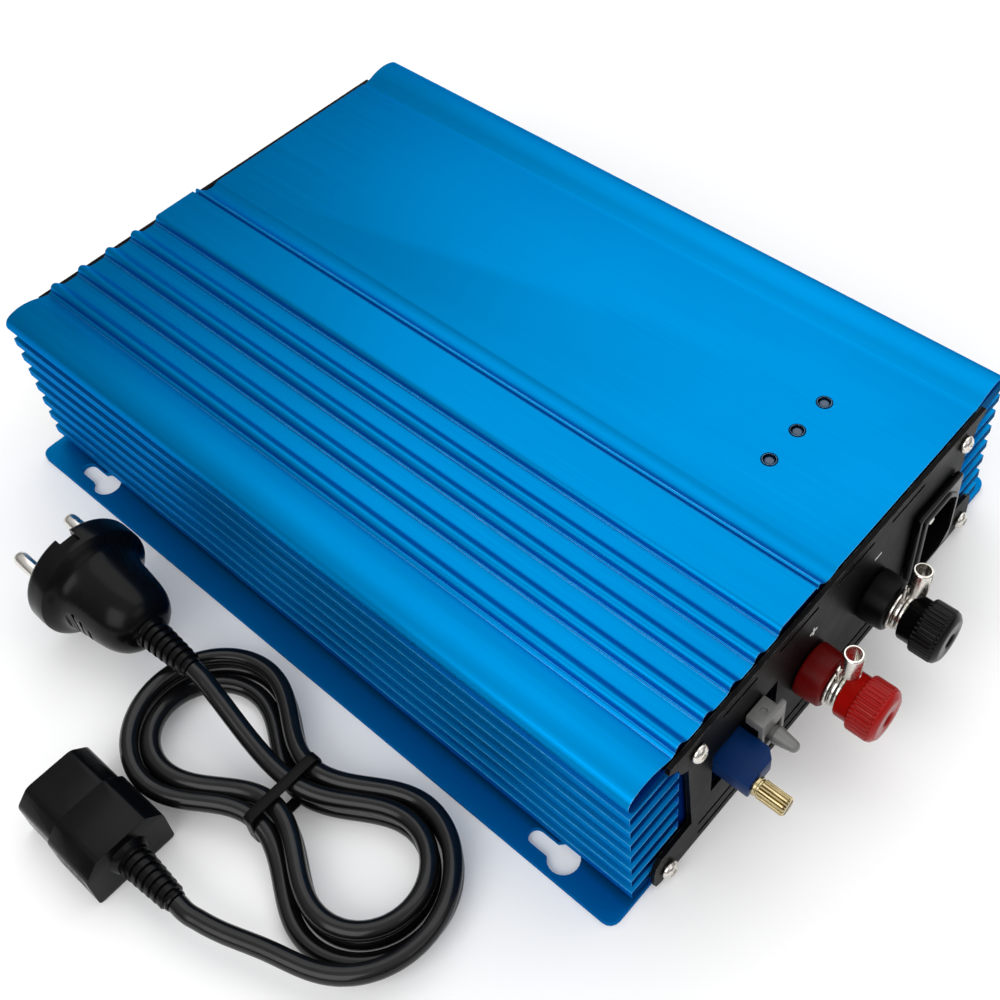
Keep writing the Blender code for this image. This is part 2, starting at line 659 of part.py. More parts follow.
def make_inside():
    board = material("circuit_green", (0.02, 0.16, 0.05), 0.45)
    w, d, thickness = BOARD_SIZE
    top = BOARD_BOTTOM + thickness
    middle_y = 1 * MM
    box("circuit_board", (-w / 2, middle_y - d / 2, BOARD_BOTTOM), (w / 2, middle_y + d / 2, top), board)
    for i, (sx, sy) in enumerate(((-1, -1), (1, -1), (-1, 1), (1, 1))):
        x, y = sx * STANDOFF_AT[0], sy * STANDOFF_AT[1]
        cylinder(f"standoff_{i + 1}", 3 * MM, (x, y, BASE_THICKNESS + GAP), (x, y, BOARD_BOTTOM - GAP), brass(),
                 sides=6)
    core_width, core_height = CORE_SIZE
    core_middle = top + GAP + core_height / 2
    windows = [rectangle((side * core_width / 4, core_middle), (8 * MM, 22 * MM)) for side in (-1, 1)]
    outline = rectangle((0, core_middle), CORE_SIZE)
    upright("transformer_core", [outline] + windows, TRANSFORMER_Y - 10 * MM, TRANSFORMER_Y + 10 * MM,
            material("ferrite", (0.06, 0.06, 0.065), 0.6))
    centre = (0, TRANSFORMER_Y)
    outlines = [rectangle(centre, (31.2 * MM, 42 * MM)), rectangle(centre, (16.8 * MM, 20.8 * MM))]
    lying("transformer_winding", outlines,
          core_middle - 10.6 * MM, core_middle + 10.6 * MM, material("winding_tape", (0.5, 0.36, 0.05), 0.5))
    for i, y in enumerate((-62 * MM, -42 * MM)):
        cylinder(f"capacitor_{i + 1}", 8 * MM, (-34 * MM, y, top + GAP), (-34 * MM, y, top + 31 * MM),
                 black_plastic(), sides=24)


def make_fan():
    front = PANEL_BACK - GAP
    back = front - FAN_DEPTH
    half = FAN_SIZE / 2
    finish = black_plastic()
    centre = (0, FAN_Z)
    outline = [(x + centre[0], z + centre[1]) for x, z in rounded_rectangle(FAN_SIZE, FAN_SIZE, 3 * MM)]
    frame = upright("fan_frame", [outline, circle(centre, FAN_BORE, 40)], back, front, finish)
    mount = cylinder("fan_mount", 9 * MM, (0, back + 2 * MM, FAN_Z), (0, back, FAN_Z), rotation=OUT_FRONT,
                     sides=28, is_cutter=True)
    boolean(frame, mount, "UNION")
    for i in range(3):
        strut = box(f"fan_strut_{i + 1}", (-half, -MM, -1.5 * MM), (0, MM, 1.5 * MM), is_cutter=True)
        spin = Matrix.Rotation(math.radians(30 + 120 * i), 4, "Y")
        strut.location = Vector((0, back + MM, FAN_Z)) + spin @ Vector((-half / 2, 0, 0))
        strut.rotation_euler = spin.to_euler()
        boolean(frame, strut, "UNION")
    rotor = turned("fan_rotor", [(0, 10.5), (9.2, 10.5), (10, 9.7), (10, 0), (0, 0)], finish,
                   (0, back + 2.6 * MM, FAN_Z), OUT_REAR, steps=32)
    for i in range(FAN_BLADES):
        blade = box(f"fan_blade_{i + 1}", (0, -0.6 * MM, -6 * MM), (13 * MM, 0.6 * MM, 6 * MM), is_cutter=True)
        spin = Matrix.Rotation(2 * math.pi * i / FAN_BLADES, 4, "Y")
        lean = Matrix.Rotation(math.radians(38), 4, "X")
        blade.location = Vector((0, back + 7.8 * MM, FAN_Z)) + spin @ Vector((15.6 * MM, 0, 0))
        blade.rotation_euler = (spin @ lean).to_euler()
        boolean(rotor, blade, "UNION")


def lane_half_width(y, waist, loop):
    """How far from the hank's long axis a strand lies, y from its middle: waist at the tie, loop at the ends."""
    along = min(abs(y) / HANK_HALF_RUN, 1.0)
    return waist + (loop - waist) * (1 - math.cos(math.pi * along)) / 2


def lobe(waist, loop, start, end_sign, steps=10, arc=14):
    """Right side from start to the loop, the end's half circle, and the left side back to start."""
    side = [start + (HANK_HALF_RUN - start) * i / steps for i in range(steps)]
    right = [(lane_half_width(y, waist, loop), end_sign * y) for y in side]
    bend = []
    for i in range(arc + 1):
        angle = math.pi * i / arc
        bend.append((loop * math.cos(angle), end_sign * (HANK_HALF_RUN + loop * math.sin(angle))))
    left = [(-x, y) for x, y in reversed(right)]
    return right + bend + left


def at_hank(points):
    return [(x + HANK_CENTRE[0], y + HANK_CENTRE[1]) for x, y in points]


def make_hank():
    """Four turns of cord as one solid: the outer shape of a hank that is pinched at its tie."""
    inner_waist = LANE / 2 - CORD_RADIUS
    inner_loop = HANK_INNER_LOOP - CORD_RADIUS
    outer_waist = 1.5 * LANE + CORD_RADIUS
    outer_loop = HANK_INNER_LOOP + LANE + CORD_RADIUS
    upper = lobe(outer_waist, outer_loop, 0, 1)
    lower = lobe(outer_waist, outer_loop, 0, -1)
    contour = upper[:-1] + [(x, y) for x, y in reversed(lower)][:-1]
    holes = [at_hank(lobe(inner_waist, inner_loop, 9 * MM, sign)) for sign in (1, -1)]
    lying("cord_hank", [at_hank(contour)] + holes, HANK_BOTTOM, HANK_TOP, rubber())


def rubber():
    return material("cord_rubber", (0.02, 0.02, 0.02), 0.55)


def smooth_route(points, spacing):
    """Points a given spacing apart along the Catmull-Rom curve through the route's own points."""
    ends = [points[0] * 2 - points[1]] + points + [points[-1] * 2 - points[-2]]
    fine = []
    for a, b, c, d in zip(ends, ends[1:], ends[2:], ends[3:]):
        for i in range(24):
            t = i / 24
            fine.append(0.5 * (2 * b + (c - a) * t + (2 * a - 5 * b + 4 * c - d) * t * t
                               + (3 * b - a - 3 * c + d) * t ** 3))
    fine.append(points[-1])
    lengths = [0.0]
    for a, b in zip(fine, fine[1:]):
        lengths.append(lengths[-1] + (b - a).length)
    count = max(2, round(lengths[-1] / spacing))
    route = []
    step = 0
    for i in range(count + 1):
        target = lengths[-1] * i / count
        while step < len(fine) - 2 and lengths[step + 1] < target:
            step += 1
        share = (target - lengths[step]) / max(lengths[step + 1] - lengths[step], 1e-9)
        route.append(fine[step].lerp(fine[step + 1], min(max(share, 0), 1)))
    return route


def tube(name, route, radius, finish):
    curve = bpy.data.curves.new(name, "CURVE")
    curve.dimensions = "3D"
    curve.bevel_depth = radius
    curve.bevel_resolution = 2
    curve.use_fill_caps = True
    spline = curve.splines.new("POLY")
    points = smooth_route([Vector(p) * MM for p in route], 5 * radius)
    spline.points.add(len(points) - 1)
    for point, place_at in zip(spline.points, points):
        point.co = (*place_at, 1)
    obj = bpy.data.objects.new(name, curve)
    curve.materials.append(finish)
    parts.objects.link(obj)
    return obj


# The cord's two loose stretches, in mm: connector to hank, and hank to plug
ROUTE_TO_CONNECTOR = ((-168.6, -38.4, 9.35), (-168.5, -44, 9.2), (-167.4, -50, 8.8), (-165.2, -56, 8.6),
                      (-162.6, -62, 8.9), (-160.4, -67.5, 9.6), (-159.1, -72, 9.9))
ROUTE_TO_PLUG = ((-125.8, -28, 16.1), (-124.8, -20, 16.1), (-123.9, -12, 16.3), (-122.9, -5, 17.0),
                 (-122.2, 0.5, 18.2), (-122, 4.5, 18.8), (-122, 8.5, 18.9))


def make_connector():
    """The lead's line socket: a block with two cut corners, a stepped neck and a ribbed, tapering relief."""
    w, h = CONNECTOR_SIZE[0] / 2, CONNECTOR_SIZE[1] / 2
    z = h + 0.1 * MM
    back = CONNECTOR_FACE - CONNECTOR_LENGTH
    cut = 5 * MM
    outline = [(-w, -h), (w, -h), (w, h - cut), (w - cut, h), (-w + cut, h), (-w, h - cut)]
    outline = [(CONNECTOR_X + a, z + b) for a, b in outline]
    body = upright("connector_body", [outline], back, CONNECTOR_FACE, black_plastic())
    relief = [(0, 6), (4.4, 6), (4.2, 4), (4.2, 0), (3.2, -19), (3.0, -20), (0, -20)]
    tail = turned("connector_relief", relief, location=(CONNECTOR_X, back, z), rotation=OUT_REAR, steps=24,
                  is_cutter=True)
    boolean(body, tail, "UNION")
    for name, (dx, dz) in {"line": (-7, -1.8), "earth": (0, 2.2), "neutral": (7, -1.8)}.items():
        x, hole_z = CONNECTOR_X + dx * MM, z + dz * MM
        slot_tool = box(f"connector_{name}_slot", (x - 1.2 * MM, CONNECTOR_FACE - 16 * MM, hole_z - 2.3 * MM),
                        (x + 1.2 * MM, CONNECTOR_FACE + MM, hole_z + 2.3 * MM), is_cutter=True)
        boolean(body, slot_tool)


def make_plug():
    """A round two-pin earthed plug: a disc, a waisted grip and a tapering relief, lying on its rim."""
    profile = [(0, 0), (17.6, 0), (18.7, -1.2), (18.7, -8), (17.4, -9.6), (14.6, -12), (13.2, -20), (11.6, -30),
               (8.6, -35.5), (4.6, -37), (4.2, -44), (3.1, -55), (2.9, -56), (0, -56)]
    at = (PLUG_X, PLUG_FACE, PLUG_Z)
    body = turned("plug_body", profile, black_plastic(), at, OUT_REAR, steps=28)
    for i, side in enumerate((-1, 1)):
        rim = PLUG_Z + side * 18.6 * MM
        notch = box(f"plug_notch_{i + 1}", (PLUG_X - 2.6 * MM, PLUG_FACE - 6.4 * MM, rim - 3 * MM),
                    (PLUG_X + 2.6 * MM, PLUG_FACE + MM, rim + 3 * MM), is_cutter=True)
        boolean(body, notch)
    pin = [(0, 19), (1.4, 19), (2.2, 18.2), (2.4, 17), (2.4, -5.7), (0, -5.7)]
    for i, side in enumerate((-1, 1)):
        x = PLUG_X + side * 9.5 * MM
        hole = cylinder(f"plug_pin_hole_{i + 1}", 2.7 * MM, (x, PLUG_FACE - 6 * MM, PLUG_Z),
                        (x, PLUG_FACE + MM, PLUG_Z), rotation=OUT_REAR, sides=19, is_cutter=True)
        boolean(body, hole)
        turned(f"plug_pin_{i + 1}", pin, nickel(), (x, PLUG_FACE, PLUG_Z), OUT_REAR, steps=20)


def make_tie():
    """A strap round the hank's waist."""
    half = 1.5 * LANE + CORD_RADIUS + 2 * GAP
    z = (HANK_BOTTOM + HANK_TOP) / 2
    height = HANK_TOP - HANK_BOTTOM + 2 * GAP
    strap = 0.9 * MM
    centre = (HANK_CENTRE[0], z)
    outer = [(centre[0] + x, centre[1] + y)
             for x, y in rounded_rectangle(2 * (half + strap), height + 2 * strap, 1.6 * MM)]
    inner = rectangle(centre, (2 * half, height))
    upright("cord_tie", [outer, inner], HANK_CENTRE[1] - 3.5 * MM, HANK_CENTRE[1] + 3.5 * MM, black_plastic())


def make_lead():
    make_connector()
    tube("cord_to_connector", ROUTE_TO_CONNECTOR, CORD_RADIUS, rubber())
    make_hank()
    make_tie()
    tube("cord_to_plug", ROUTE_TO_PLUG, CORD_RADIUS, rubber())
    make_plug()


def main():
    global parts, cutters
    clear_scene()
    parts = new_collection("micro_inverter")
    cutters = new_collection("cutters")
    cutters.hide_render = True
    make_case()
    make_base_plate()
    make_front_panel()
    make_rear_panel()
    make_panel_screws()
    make_posts()
    make_inlet()
    make_dial()
    make_switch()
    make_lamps()
    make_inside()
    make_fan()
    make_lead()


main()
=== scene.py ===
"""Looks of the micro inverter: the finished case, panels, terminals, inlet, controls, fan and mains lead.

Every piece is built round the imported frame, in metres: +Z up, the front panel faces -Y.
"""

import json
import math

import bmesh
import bpy
from mathutils import Matrix, Vector


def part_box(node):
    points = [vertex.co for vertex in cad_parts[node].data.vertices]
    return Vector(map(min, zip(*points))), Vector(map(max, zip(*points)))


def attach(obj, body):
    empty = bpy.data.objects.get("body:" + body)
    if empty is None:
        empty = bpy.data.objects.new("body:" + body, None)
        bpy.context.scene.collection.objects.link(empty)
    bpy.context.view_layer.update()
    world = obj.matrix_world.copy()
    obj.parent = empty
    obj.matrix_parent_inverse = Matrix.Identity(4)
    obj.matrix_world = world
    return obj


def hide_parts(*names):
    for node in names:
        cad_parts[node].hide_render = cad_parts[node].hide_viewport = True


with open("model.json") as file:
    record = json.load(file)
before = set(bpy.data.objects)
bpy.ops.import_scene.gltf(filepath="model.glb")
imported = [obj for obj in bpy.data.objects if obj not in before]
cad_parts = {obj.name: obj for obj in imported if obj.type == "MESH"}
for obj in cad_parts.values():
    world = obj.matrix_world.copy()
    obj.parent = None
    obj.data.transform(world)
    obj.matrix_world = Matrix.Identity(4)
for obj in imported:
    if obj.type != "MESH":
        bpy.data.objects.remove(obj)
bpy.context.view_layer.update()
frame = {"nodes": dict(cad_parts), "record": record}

MM = 0.001
GAP = 0.3       # between neighbouring pieces, in mm
FRONT = Matrix.Rotation(math.radians(90), 4, "X")    # local Z becomes -Y
REAR = Matrix.Rotation(math.radians(-90), 4, "X")    # local Z becomes +Y
DOWN = Matrix.Rotation(math.radians(180), 4, "X")    # local Z becomes -Z
UP = Matrix.Identity(4)


# ---------------------------------------------------------------- materials

class Graph:
    """A new material's node tree, with short calls for the nodes that the finishes share."""

    def __init__(self, name, roughness=0.5, metallic=0.0, **fixed):
        self.material = bpy.data.materials.new(name)
        self.material.use_nodes = True
        self.tree = self.material.node_tree
        self.shader = self.tree.nodes["Principled BSDF"]
        self.shader.inputs["Roughness"].default_value = roughness
        self.shader.inputs["Metallic"].default_value = metallic
        for socket, value in fixed.items():
            self.shader.inputs[socket.replace("_", " ")].default_value = value
        self.place = self.tree.nodes.new("ShaderNodeTexCoord").outputs["Object"]

    def node(self, kind, **settings):
        made = self.tree.nodes.new(kind)
        for key, value in settings.items():
            setattr(made, key, value)
        return made

    def link(self, start, end):
        self.tree.links.new(start, end)

    def noise(self, scale, stretch=(1, 1, 1), detail=3.0, roughness=0.5):
        """Noise with scale features a metre, squeezed by stretch along each axis."""
        mapping = self.node("ShaderNodeMapping")
        mapping.inputs["Scale"].default_value = stretch
        self.link(self.place, mapping.inputs["Vector"])
        made = self.node("ShaderNodeTexNoise")
        made.inputs["Scale"].default_value = scale
        made.inputs["Detail"].default_value = detail
        made.inputs["Roughness"].default_value = roughness
        self.link(mapping.outputs["Vector"], made.inputs["Vector"])
        return made.outputs["Fac"]

    def spread(self, value, low, high, start=0.3, end=0.7):
        """value from start to end becomes low to high."""
        made = self.node("ShaderNodeMapRange")
        for socket, number in zip(("From Min", "From Max", "To Min", "To Max"), (start, end, low, high)):
            made.inputs[socket].default_value = number
        self.link(value, made.inputs["Value"])
        return made.outputs["Result"]

    def mix(self, factor, first, second):
        """A colour between first and second, each a colour or a socket."""
        made = self.node("ShaderNodeMix", data_type="RGBA")
        self.link(factor, made.inputs["Factor"])
        for socket, colour in ((made.inputs[6], first), (made.inputs[7], second)):
            if isinstance(colour, tuple):
                socket.default_value = (*colour, 1.0)
            else:
                self.link(colour, socket)
        return made.outputs[2]

    def edges(self, radius):
        """1 on an edge within radius of the point, 0 on a flat."""
        bevel = self.node("ShaderNodeBevel", samples=4)
        bevel.inputs["Radius"].default_value = radius
        normal = self.node("ShaderNodeNewGeometry").outputs["Normal"]
        dot = self.node("ShaderNodeVectorMath", operation="DOT_PRODUCT")
        self.link(bevel.outputs["Normal"], dot.inputs[0])
        self.link(normal, dot.inputs[1])
        return self.spread(dot.outputs["Value"], 1.0, 0.0, 0.72, 0.98)

    def product(self, first, second):
        made = self.node("ShaderNodeMath", operation="MULTIPLY")
        self.link(first, made.inputs[0])
        self.link(second, made.inputs[1])
        return made.outputs["Value"]

    def colour(self, socket):
        self.link(socket, self.shader.inputs["Base Color"])

    def roughness(self, socket):
        self.link(socket, self.shader.inputs["Roughness"])

    def bump(self, height, strength, distance):
        made = self.node("ShaderNodeBump")
        made.inputs["Strength"].default_value = strength
        made.inputs["Distance"].default_value = distance
        self.link(height, made.inputs["Height"])
        self.link(made.outputs["Normal"], self.shader.inputs["Normal"])


def anodised(name, deep, bright, worn_and_highlight, rough, stretch=(2600, 14, 2600)):
    """Anodised aluminium with fine draw or saw lines, and lighter edges that are partly rubbed wear and
    partly a painted highlight.
    """
    g = Graph(name, metallic=1.0, Specular_Tint=(0.1, 0.5, 0.9, 1.0))
    lines = g.noise(1.0, stretch, detail=4)
    clouds = g.noise(9, detail=4)
    body = g.mix(g.spread(clouds, 0.25, 0.75), deep, bright)
    lined = g.mix(g.spread(lines, 0.0, 0.35), body, bright)
    # Lighter edges: partly rubbed wear, partly a painted highlight along sharp edges such as the fin tips.
    rub = g.product(g.edges(0.35 * MM), g.spread(g.noise(260, detail=5), 0.35, 1.0))
    g.colour(g.mix(rub, lined, worn_and_highlight))
    g.roughness(g.spread(lines, rough - 0.05, rough + 0.05))
    g.bump(lines, 0.12, 0.02 * MM)
    return g.material


def painted(name, dark, light, rough):
    """Powder coat: a fine orange peel, a little dust, and edges rubbed to a grey."""
    g = Graph(name, Specular_IOR_Level=0.06)
    peel = g.noise(1400, detail=2)
    dust = g.noise(38, detail=6, roughness=0.65)
    coat = g.mix(g.spread(dust, 0.0, 0.6), dark, light)
    rub = g.product(g.edges(0.3 * MM), g.spread(g.noise(420, detail=5), 0.1, 0.9, 0.45, 0.7))
    g.colour(g.mix(rub, coat, (0.16, 0.16, 0.17)))
    g.roughness(g.spread(dust, rough - 0.06, rough + 0.1))
    g.bump(peel, 0.25, 0.06 * MM)
    return g.material


def moulded(name, dark, light, rough, grain=900, depth=0.04, **fixed):
    """Moulded plastic: slight colour drift, a fine spark-eroded grain and handled spots."""
    g = Graph(name, **fixed)
    drift = g.noise(60, detail=5, roughness=0.6)
    fine = g.noise(grain, detail=3)
    g.colour(g.mix(g.spread(drift, 0.0, 1.0), dark, light))
    g.roughness(g.spread(drift, rough - 0.07, rough + 0.09))
    g.bump(fine, 0.2, depth * MM)
    return g.material


def plated(name, shade, tint, rough, stretch=(1, 1, 1)):
    """Plated or bare metal with fine tool marks and uneven tarnish."""
    g = Graph(name, metallic=1.0)
    marks = g.noise(900, stretch, detail=4)
    tarnish = g.noise(130, detail=6, roughness=0.7)
    g.colour(g.mix(g.spread(tarnish, 0.0, 1.0), shade, tint))
    g.roughness(g.spread(marks, rough - 0.06, rough + 0.1))
    g.bump(marks, 0.06, 0.02 * MM)
    return g.material


def rubber(name):
    """PVC sheath: satin black, with faint flow marks and a dusting of grey."""
    g = Graph(name, Specular_IOR_Level=0.33)
    flow = g.noise(240, detail=5, roughness=0.6)
    dust = g.noise(55, detail=6, roughness=0.7)
    g.colour(g.mix(g.spread(dust, 0.0, 1.0, 0.4, 0.75), (0.003, 0.003, 0.0035), (0.009, 0.009, 0.0095)))
    g.roughness(g.spread(flow, 0.14, 0.24))
    g.bump(flow, 0.15, 0.08 * MM)
    return g.material


def board():
    """Solder mask over copper tracks, which show as slightly lighter, raised lines."""
    g = Graph("board_green", Coat_Weight=0.3)
    brick = g.node("ShaderNodeTexBrick")
    brick.inputs["Scale"].default_value = 180
    brick.inputs["Mortar Size"].default_value = 0.03
    g.link(g.place, brick.inputs["Vector"])
    tracks = brick.outputs["Fac"]
    stain = g.noise(70, detail=4)
    mask = g.mix(g.spread(stain, 0.0, 1.0), (0.008, 0.07, 0.022), (0.014, 0.12, 0.04))
    g.colour(g.mix(tracks, mask, (0.05, 0.25, 0.09)))
    g.roughness(g.spread(stain, 0.25, 0.45))
    g.bump(tracks, 0.3, 0.05 * MM)
    return g.material


BLUE = anodised("anodised_blue", (0.0, 0.19, 0.46), (0.0, 0.25, 0.6), (0.38, 0.74, 0.95), 0.47)
BASE_BLUE = anodised("anodised_base", (0.0, 0.12, 0.33), (0.0, 0.165, 0.42), (0.04, 0.32, 0.6), 0.45)
BLACK_PAINT = painted("black_coat", (0.001, 0.001, 0.0012), (0.0035, 0.0035, 0.004), 0.4)
NICKEL = plated("nickel_plate", (0.62, 0.59, 0.54), (0.84, 0.81, 0.76), 0.2)
BRASS = plated("brass_bare", (0.42, 0.34, 0.18), (0.62, 0.54, 0.34), 0.2, (1, 0.05, 1))
RED = moulded("red_moulding", (0.26, 0.003, 0.002), (0.37, 0.005, 0.003), 0.22, Specular_IOR_Level=0.18)
RED_MATT = moulded("red_insulator", (0.08, 0.001, 0.001), (0.13, 0.002, 0.002), 0.32,
                   Specular_IOR_Level=0.1)
BLACK = moulded("black_moulding", (0.0012, 0.0012, 0.0014), (0.003, 0.003, 0.0033), 0.22,
                Specular_IOR_Level=0.14)
BLACK_MATT = moulded("black_insulator", (0.0015, 0.0015, 0.0018), (0.0035, 0.0035, 0.004), 0.36,
                     Specular_IOR_Level=0.1)
GREY = moulded("grey_moulding", (0.12, 0.12, 0.117), (0.18, 0.18, 0.175), 0.36)
NAVY = moulded("navy_moulding", (0.001, 0.016, 0.075), (0.002, 0.026, 0.115), 0.34, Specular_IOR_Level=0.1)
LENS = moulded("lamp_lens", (0.01, 0.035, 0.08), (0.02, 0.06, 0.12), 0.12, Coat_Weight=0.3)
WHITE_INK = moulded("white_ink", (0.62, 0.62, 0.6), (0.78, 0.78, 0.76), 0.5)
RUBBER = rubber("cord_sheath")
BOARD = board()
FERRITE = moulded("ferrite_core", (0.035, 0.035, 0.038), (0.07, 0.07, 0.072), 0.6, grain=500, depth=0.1)
TAPE = moulded("winding_tape", (0.36, 0.24, 0.02), (0.5, 0.36, 0.05), 0.3, grain=300)
# Near-black navy anodising; on the case's sawn end faces this darkness is painted shade.
DARK_NAVY_ANODISED = anodised("dark_navy_anodised", (0.0, 0.004, 0.02), (0.0, 0.01, 0.045), (0.35, 0.65, 0.85), 0.36,
                     (90, 90, 2600))

CAD_FINISH = {
    "blue_anodised": BLUE, "blue_base": BASE_BLUE, "black_paint": BLACK_PAINT, "nickel": NICKEL,
    "brass": BRASS, "red_plastic": RED, "black_plastic": BLACK, "grey_plastic": GREY,
    "blue_plastic": NAVY, "lamp_lens": LENS, "circuit_green": BOARD, "ferrite": FERRITE,
    "winding_tape": TAPE, "cord_rubber": RUBBER,
}


# ---------------------------------------------------------------- shapes

def finish_piece(name, mesh, material, body, replaced=(), sharp=35):
    """The mesh as a piece that rides on a body, with smooth shading between its sharp edges."""
    mesh.materials.clear()
    mesh.materials.append(material)
    mesh.shade_smooth()
    mesh.set_sharp_from_angle(angle=math.radians(sharp))
    piece = bpy.data.objects.new(name, mesh)
    bpy.context.scene.collection.objects.link(piece)
    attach(piece, body)
    if replaced:
        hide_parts(*replaced)
    return piece


def eased(points, radius, closed=False, steps=3, least=20):
    """The line with each corner sharper than least degrees rounded off by a short curve."""
    points = [Vector(p) for p in points]
    out = []
    last = len(points) - 1
    for i, point in enumerate(points):
        if not closed and i in (0, last):
            out.append(point)
            continue
        back = points[i - 1] - point
        on = points[(i + 1) % len(points)] - point
        turn = math.degrees(math.pi - back.angle(on))
        if turn < least:
            out.append(point)
            continue
        cut = min(radius, 0.45 * back.length, 0.45 * on.length)
        a = point + back.normalized() * cut
        b = point + on.normalized() * cut
        for k in range(steps + 1):
            t = k / steps
            out.append(a * (1 - t) ** 2 + point * (2 * t * (1 - t)) + b * t ** 2)
    return [tuple(p) for p in out]


def smoothed(points, per=4):
    """Catmull-Rom curve through an open line's points."""
    points = [Vector(p) for p in points]
    ends = [points[0] * 2 - points[1]] + points + [points[-1] * 2 - points[-2]]
    out = []
    for a, b, c, d in zip(ends, ends[1:], ends[2:], ends[3:]):
        for i in range(per):
            t = i / per
            out.append(0.5 * (2 * b + (c - a) * t + (2 * a - 5 * b + 4 * c - d) * t * t
                              + (3 * b - a - 3 * c + d) * t ** 3))
    out.append(points[-1])
    return [tuple(p) for p in out]


def circle(centre, radius, sides=32, start=0.0, turn=2 * math.pi):
    whole = abs(turn) > 2 * math.pi - 1e-6
    count = sides if whole else sides + 1
    return [(centre[0] + radius * math.cos(start + turn * i / sides),
             centre[1] + radius * math.sin(start + turn * i / sides)) for i in range(count)]


def rectangle(centre, size):
    x, y = centre
    w, h = size[0] / 2, size[1] / 2
    return [(x - w, y - h), (x + w, y - h), (x + w, y + h), (x - w, y + h)]


def meshed(shape, name, place=UP):
    """The bmesh as a mesh with its faces turned outwards, moved to place."""
    bmesh.ops.recalc_face_normals(shape, faces=shape.faces)
    mesh = bpy.data.meshes.new(name)
    shape.to_mesh(mesh)
    shape.free()
    mesh.transform(place)
    return mesh


def loft(shape, rows):
    """Skins the rows of points in order and closes both ends."""
    count = len(rows[0])
    for a, b in zip(rows, rows[1:]):
        for k in range(count):
            shape.faces.new([a[k], a[(k + 1) % count], b[(k + 1) % count], b[k]])
    shape.faces.new(rows[0])
    shape.faces.new(list(reversed(rows[-1])))


def lathe(profile, place, steps=48, ribs=None):
    """A turned mesh: profile lists (radius, height) in mm from its top down its outer side.
    ribs(angle, radius, height) may give each point a radius of its own."""
    shape = bmesh.new()
    rings = []
    for radius, height in profile:
        if radius < 1e-6:
            rings.append([shape.verts.new((0, 0, height * MM))])
            continue
        ring = []
        for i in range(steps):
            angle = 2 * math.pi * i / steps
            r = ribs(angle, radius, height) if ribs else radius
            ring.append(shape.verts.new((r * MM * math.cos(angle), r * MM * math.sin(angle), height * MM)))
        rings.append(ring)
    for upper, lower in zip(rings, rings[1:]):
        for i in range(steps):
            k = (i + 1) % steps
            corners = [upper[i % len(upper)], upper[k % len(upper)],
                       lower[k % len(lower)], lower[i % len(lower)]]
            corners = list(dict.fromkeys(corners))
            if len(corners) > 2:
                shape.faces.new(corners)
    bmesh.ops.remove_doubles(shape, verts=shape.verts, dist=1e-7)
    return meshed(shape, "turned", place)


def sheet(outlines, thickness, place, ease=0.0):
    """A flat shape in local X and Y, in mm, with holes and eased edges, centred on Z = 0."""
    curve = bpy.data.curves.new("outline", "CURVE")
    curve.dimensions = "2D"
    curve.fill_mode = "BOTH"
    curve.extrude = (thickness / 2 - ease) * MM
    curve.bevel_depth = ease * MM
    curve.bevel_resolution = 1
    curve.offset = -ease * MM
    for outline in outlines:
        spline = curve.splines.new("POLY")
        spline.points.add(len(outline) - 1)
        spline.use_cyclic_u = True
        for point, (x, y) in zip(spline.points, outline):
            point.co = (x * MM, y * MM, 0, 1)
    guide = bpy.data.objects.new("outline", curve)
    bpy.context.scene.collection.objects.link(guide)
    bpy.context.view_layer.update()
    mesh = bpy.data.meshes.new_from_object(guide.evaluated_get(bpy.context.evaluated_depsgraph_get()))
    bpy.data.objects.remove(guide, do_unlink=True)
    bpy.data.curves.remove(curve)
    shape = bmesh.new()
    shape.from_mesh(mesh)
    bmesh.ops.remove_doubles(shape, verts=shape.verts, dist=1e-6)
    return meshed(shape, "flat", place)


def upright(outlines, near, far, ease=0.0):
    """A sheet that fills the Y places from near to far, its outlines in X and Z, in mm."""
    return sheet(outlines, far - near, at(0, (near + far) / 2 * MM, 0, FRONT), ease)


def block(low, high):
    """A plain box in mm, used as a tool or as the start of a shape."""
    shape = bmesh.new()
    bmesh.ops.create_cube(shape, size=1.0)
    size = Vector(high) - Vector(low)
    bmesh.ops.scale(shape, vec=size, verts=shape.verts)
    bmesh.ops.translate(shape, vec=(Vector(low) + Vector(high)) / 2, verts=shape.verts)
    return meshed(shape, "block", Matrix.Scale(MM, 4))


def worked(mesh, cuts=(), joins=(), bevel=0.0, segments=2):
    """The mesh with others joined to it, then others cut from it, then its edges eased by bevel mm."""
    def helper(data):
        made = bpy.data.objects.new("tool", data)
        bpy.context.scene.collection.objects.link(made)
        return made

    base = helper(mesh)
    tools = []
    for operation, meshes in (("UNION", joins), ("DIFFERENCE", cuts)):
        for data in meshes:
            tool = helper(data)
            tools.append(tool)
            modifier = base.modifiers.new("work", "BOOLEAN")
            modifier.operation = operation
            modifier.object = tool
    if bevel:
        modifier = base.modifiers.new("ease", "BEVEL")
        modifier.width = bevel * MM
        modifier.segments = segments
        modifier.limit_method = "ANGLE"
        modifier.angle_limit = math.radians(32)
    bpy.context.view_layer.update()
    result = bpy.data.meshes.new_from_object(base.evaluated_get(bpy.context.evaluated_depsgraph_get()))
    for used in [base] + tools:
        bpy.data.objects.remove(used, do_unlink=True)
    return result


def joined(meshes):
    """Several meshes as one, each still its own closed shell."""
    shape = bmesh.new()
    for mesh in meshes:
        shape.from_mesh(mesh)
    return meshed(shape, "joined")


def at(x, y, z, turn=UP):
    """The place (x, y, z), in metres, with local Z turned."""
    return Matrix.Translation((x, y, z)) @ turn


def middle(node):
    low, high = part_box(node)
    return (low + high) / 2


def on_axis(node, y, turn=FRONT):
    """The place at y on the line through a node's middle, along Y."""
    centre = middle(node)
    return at(centre.x, y, centre.z, turn)


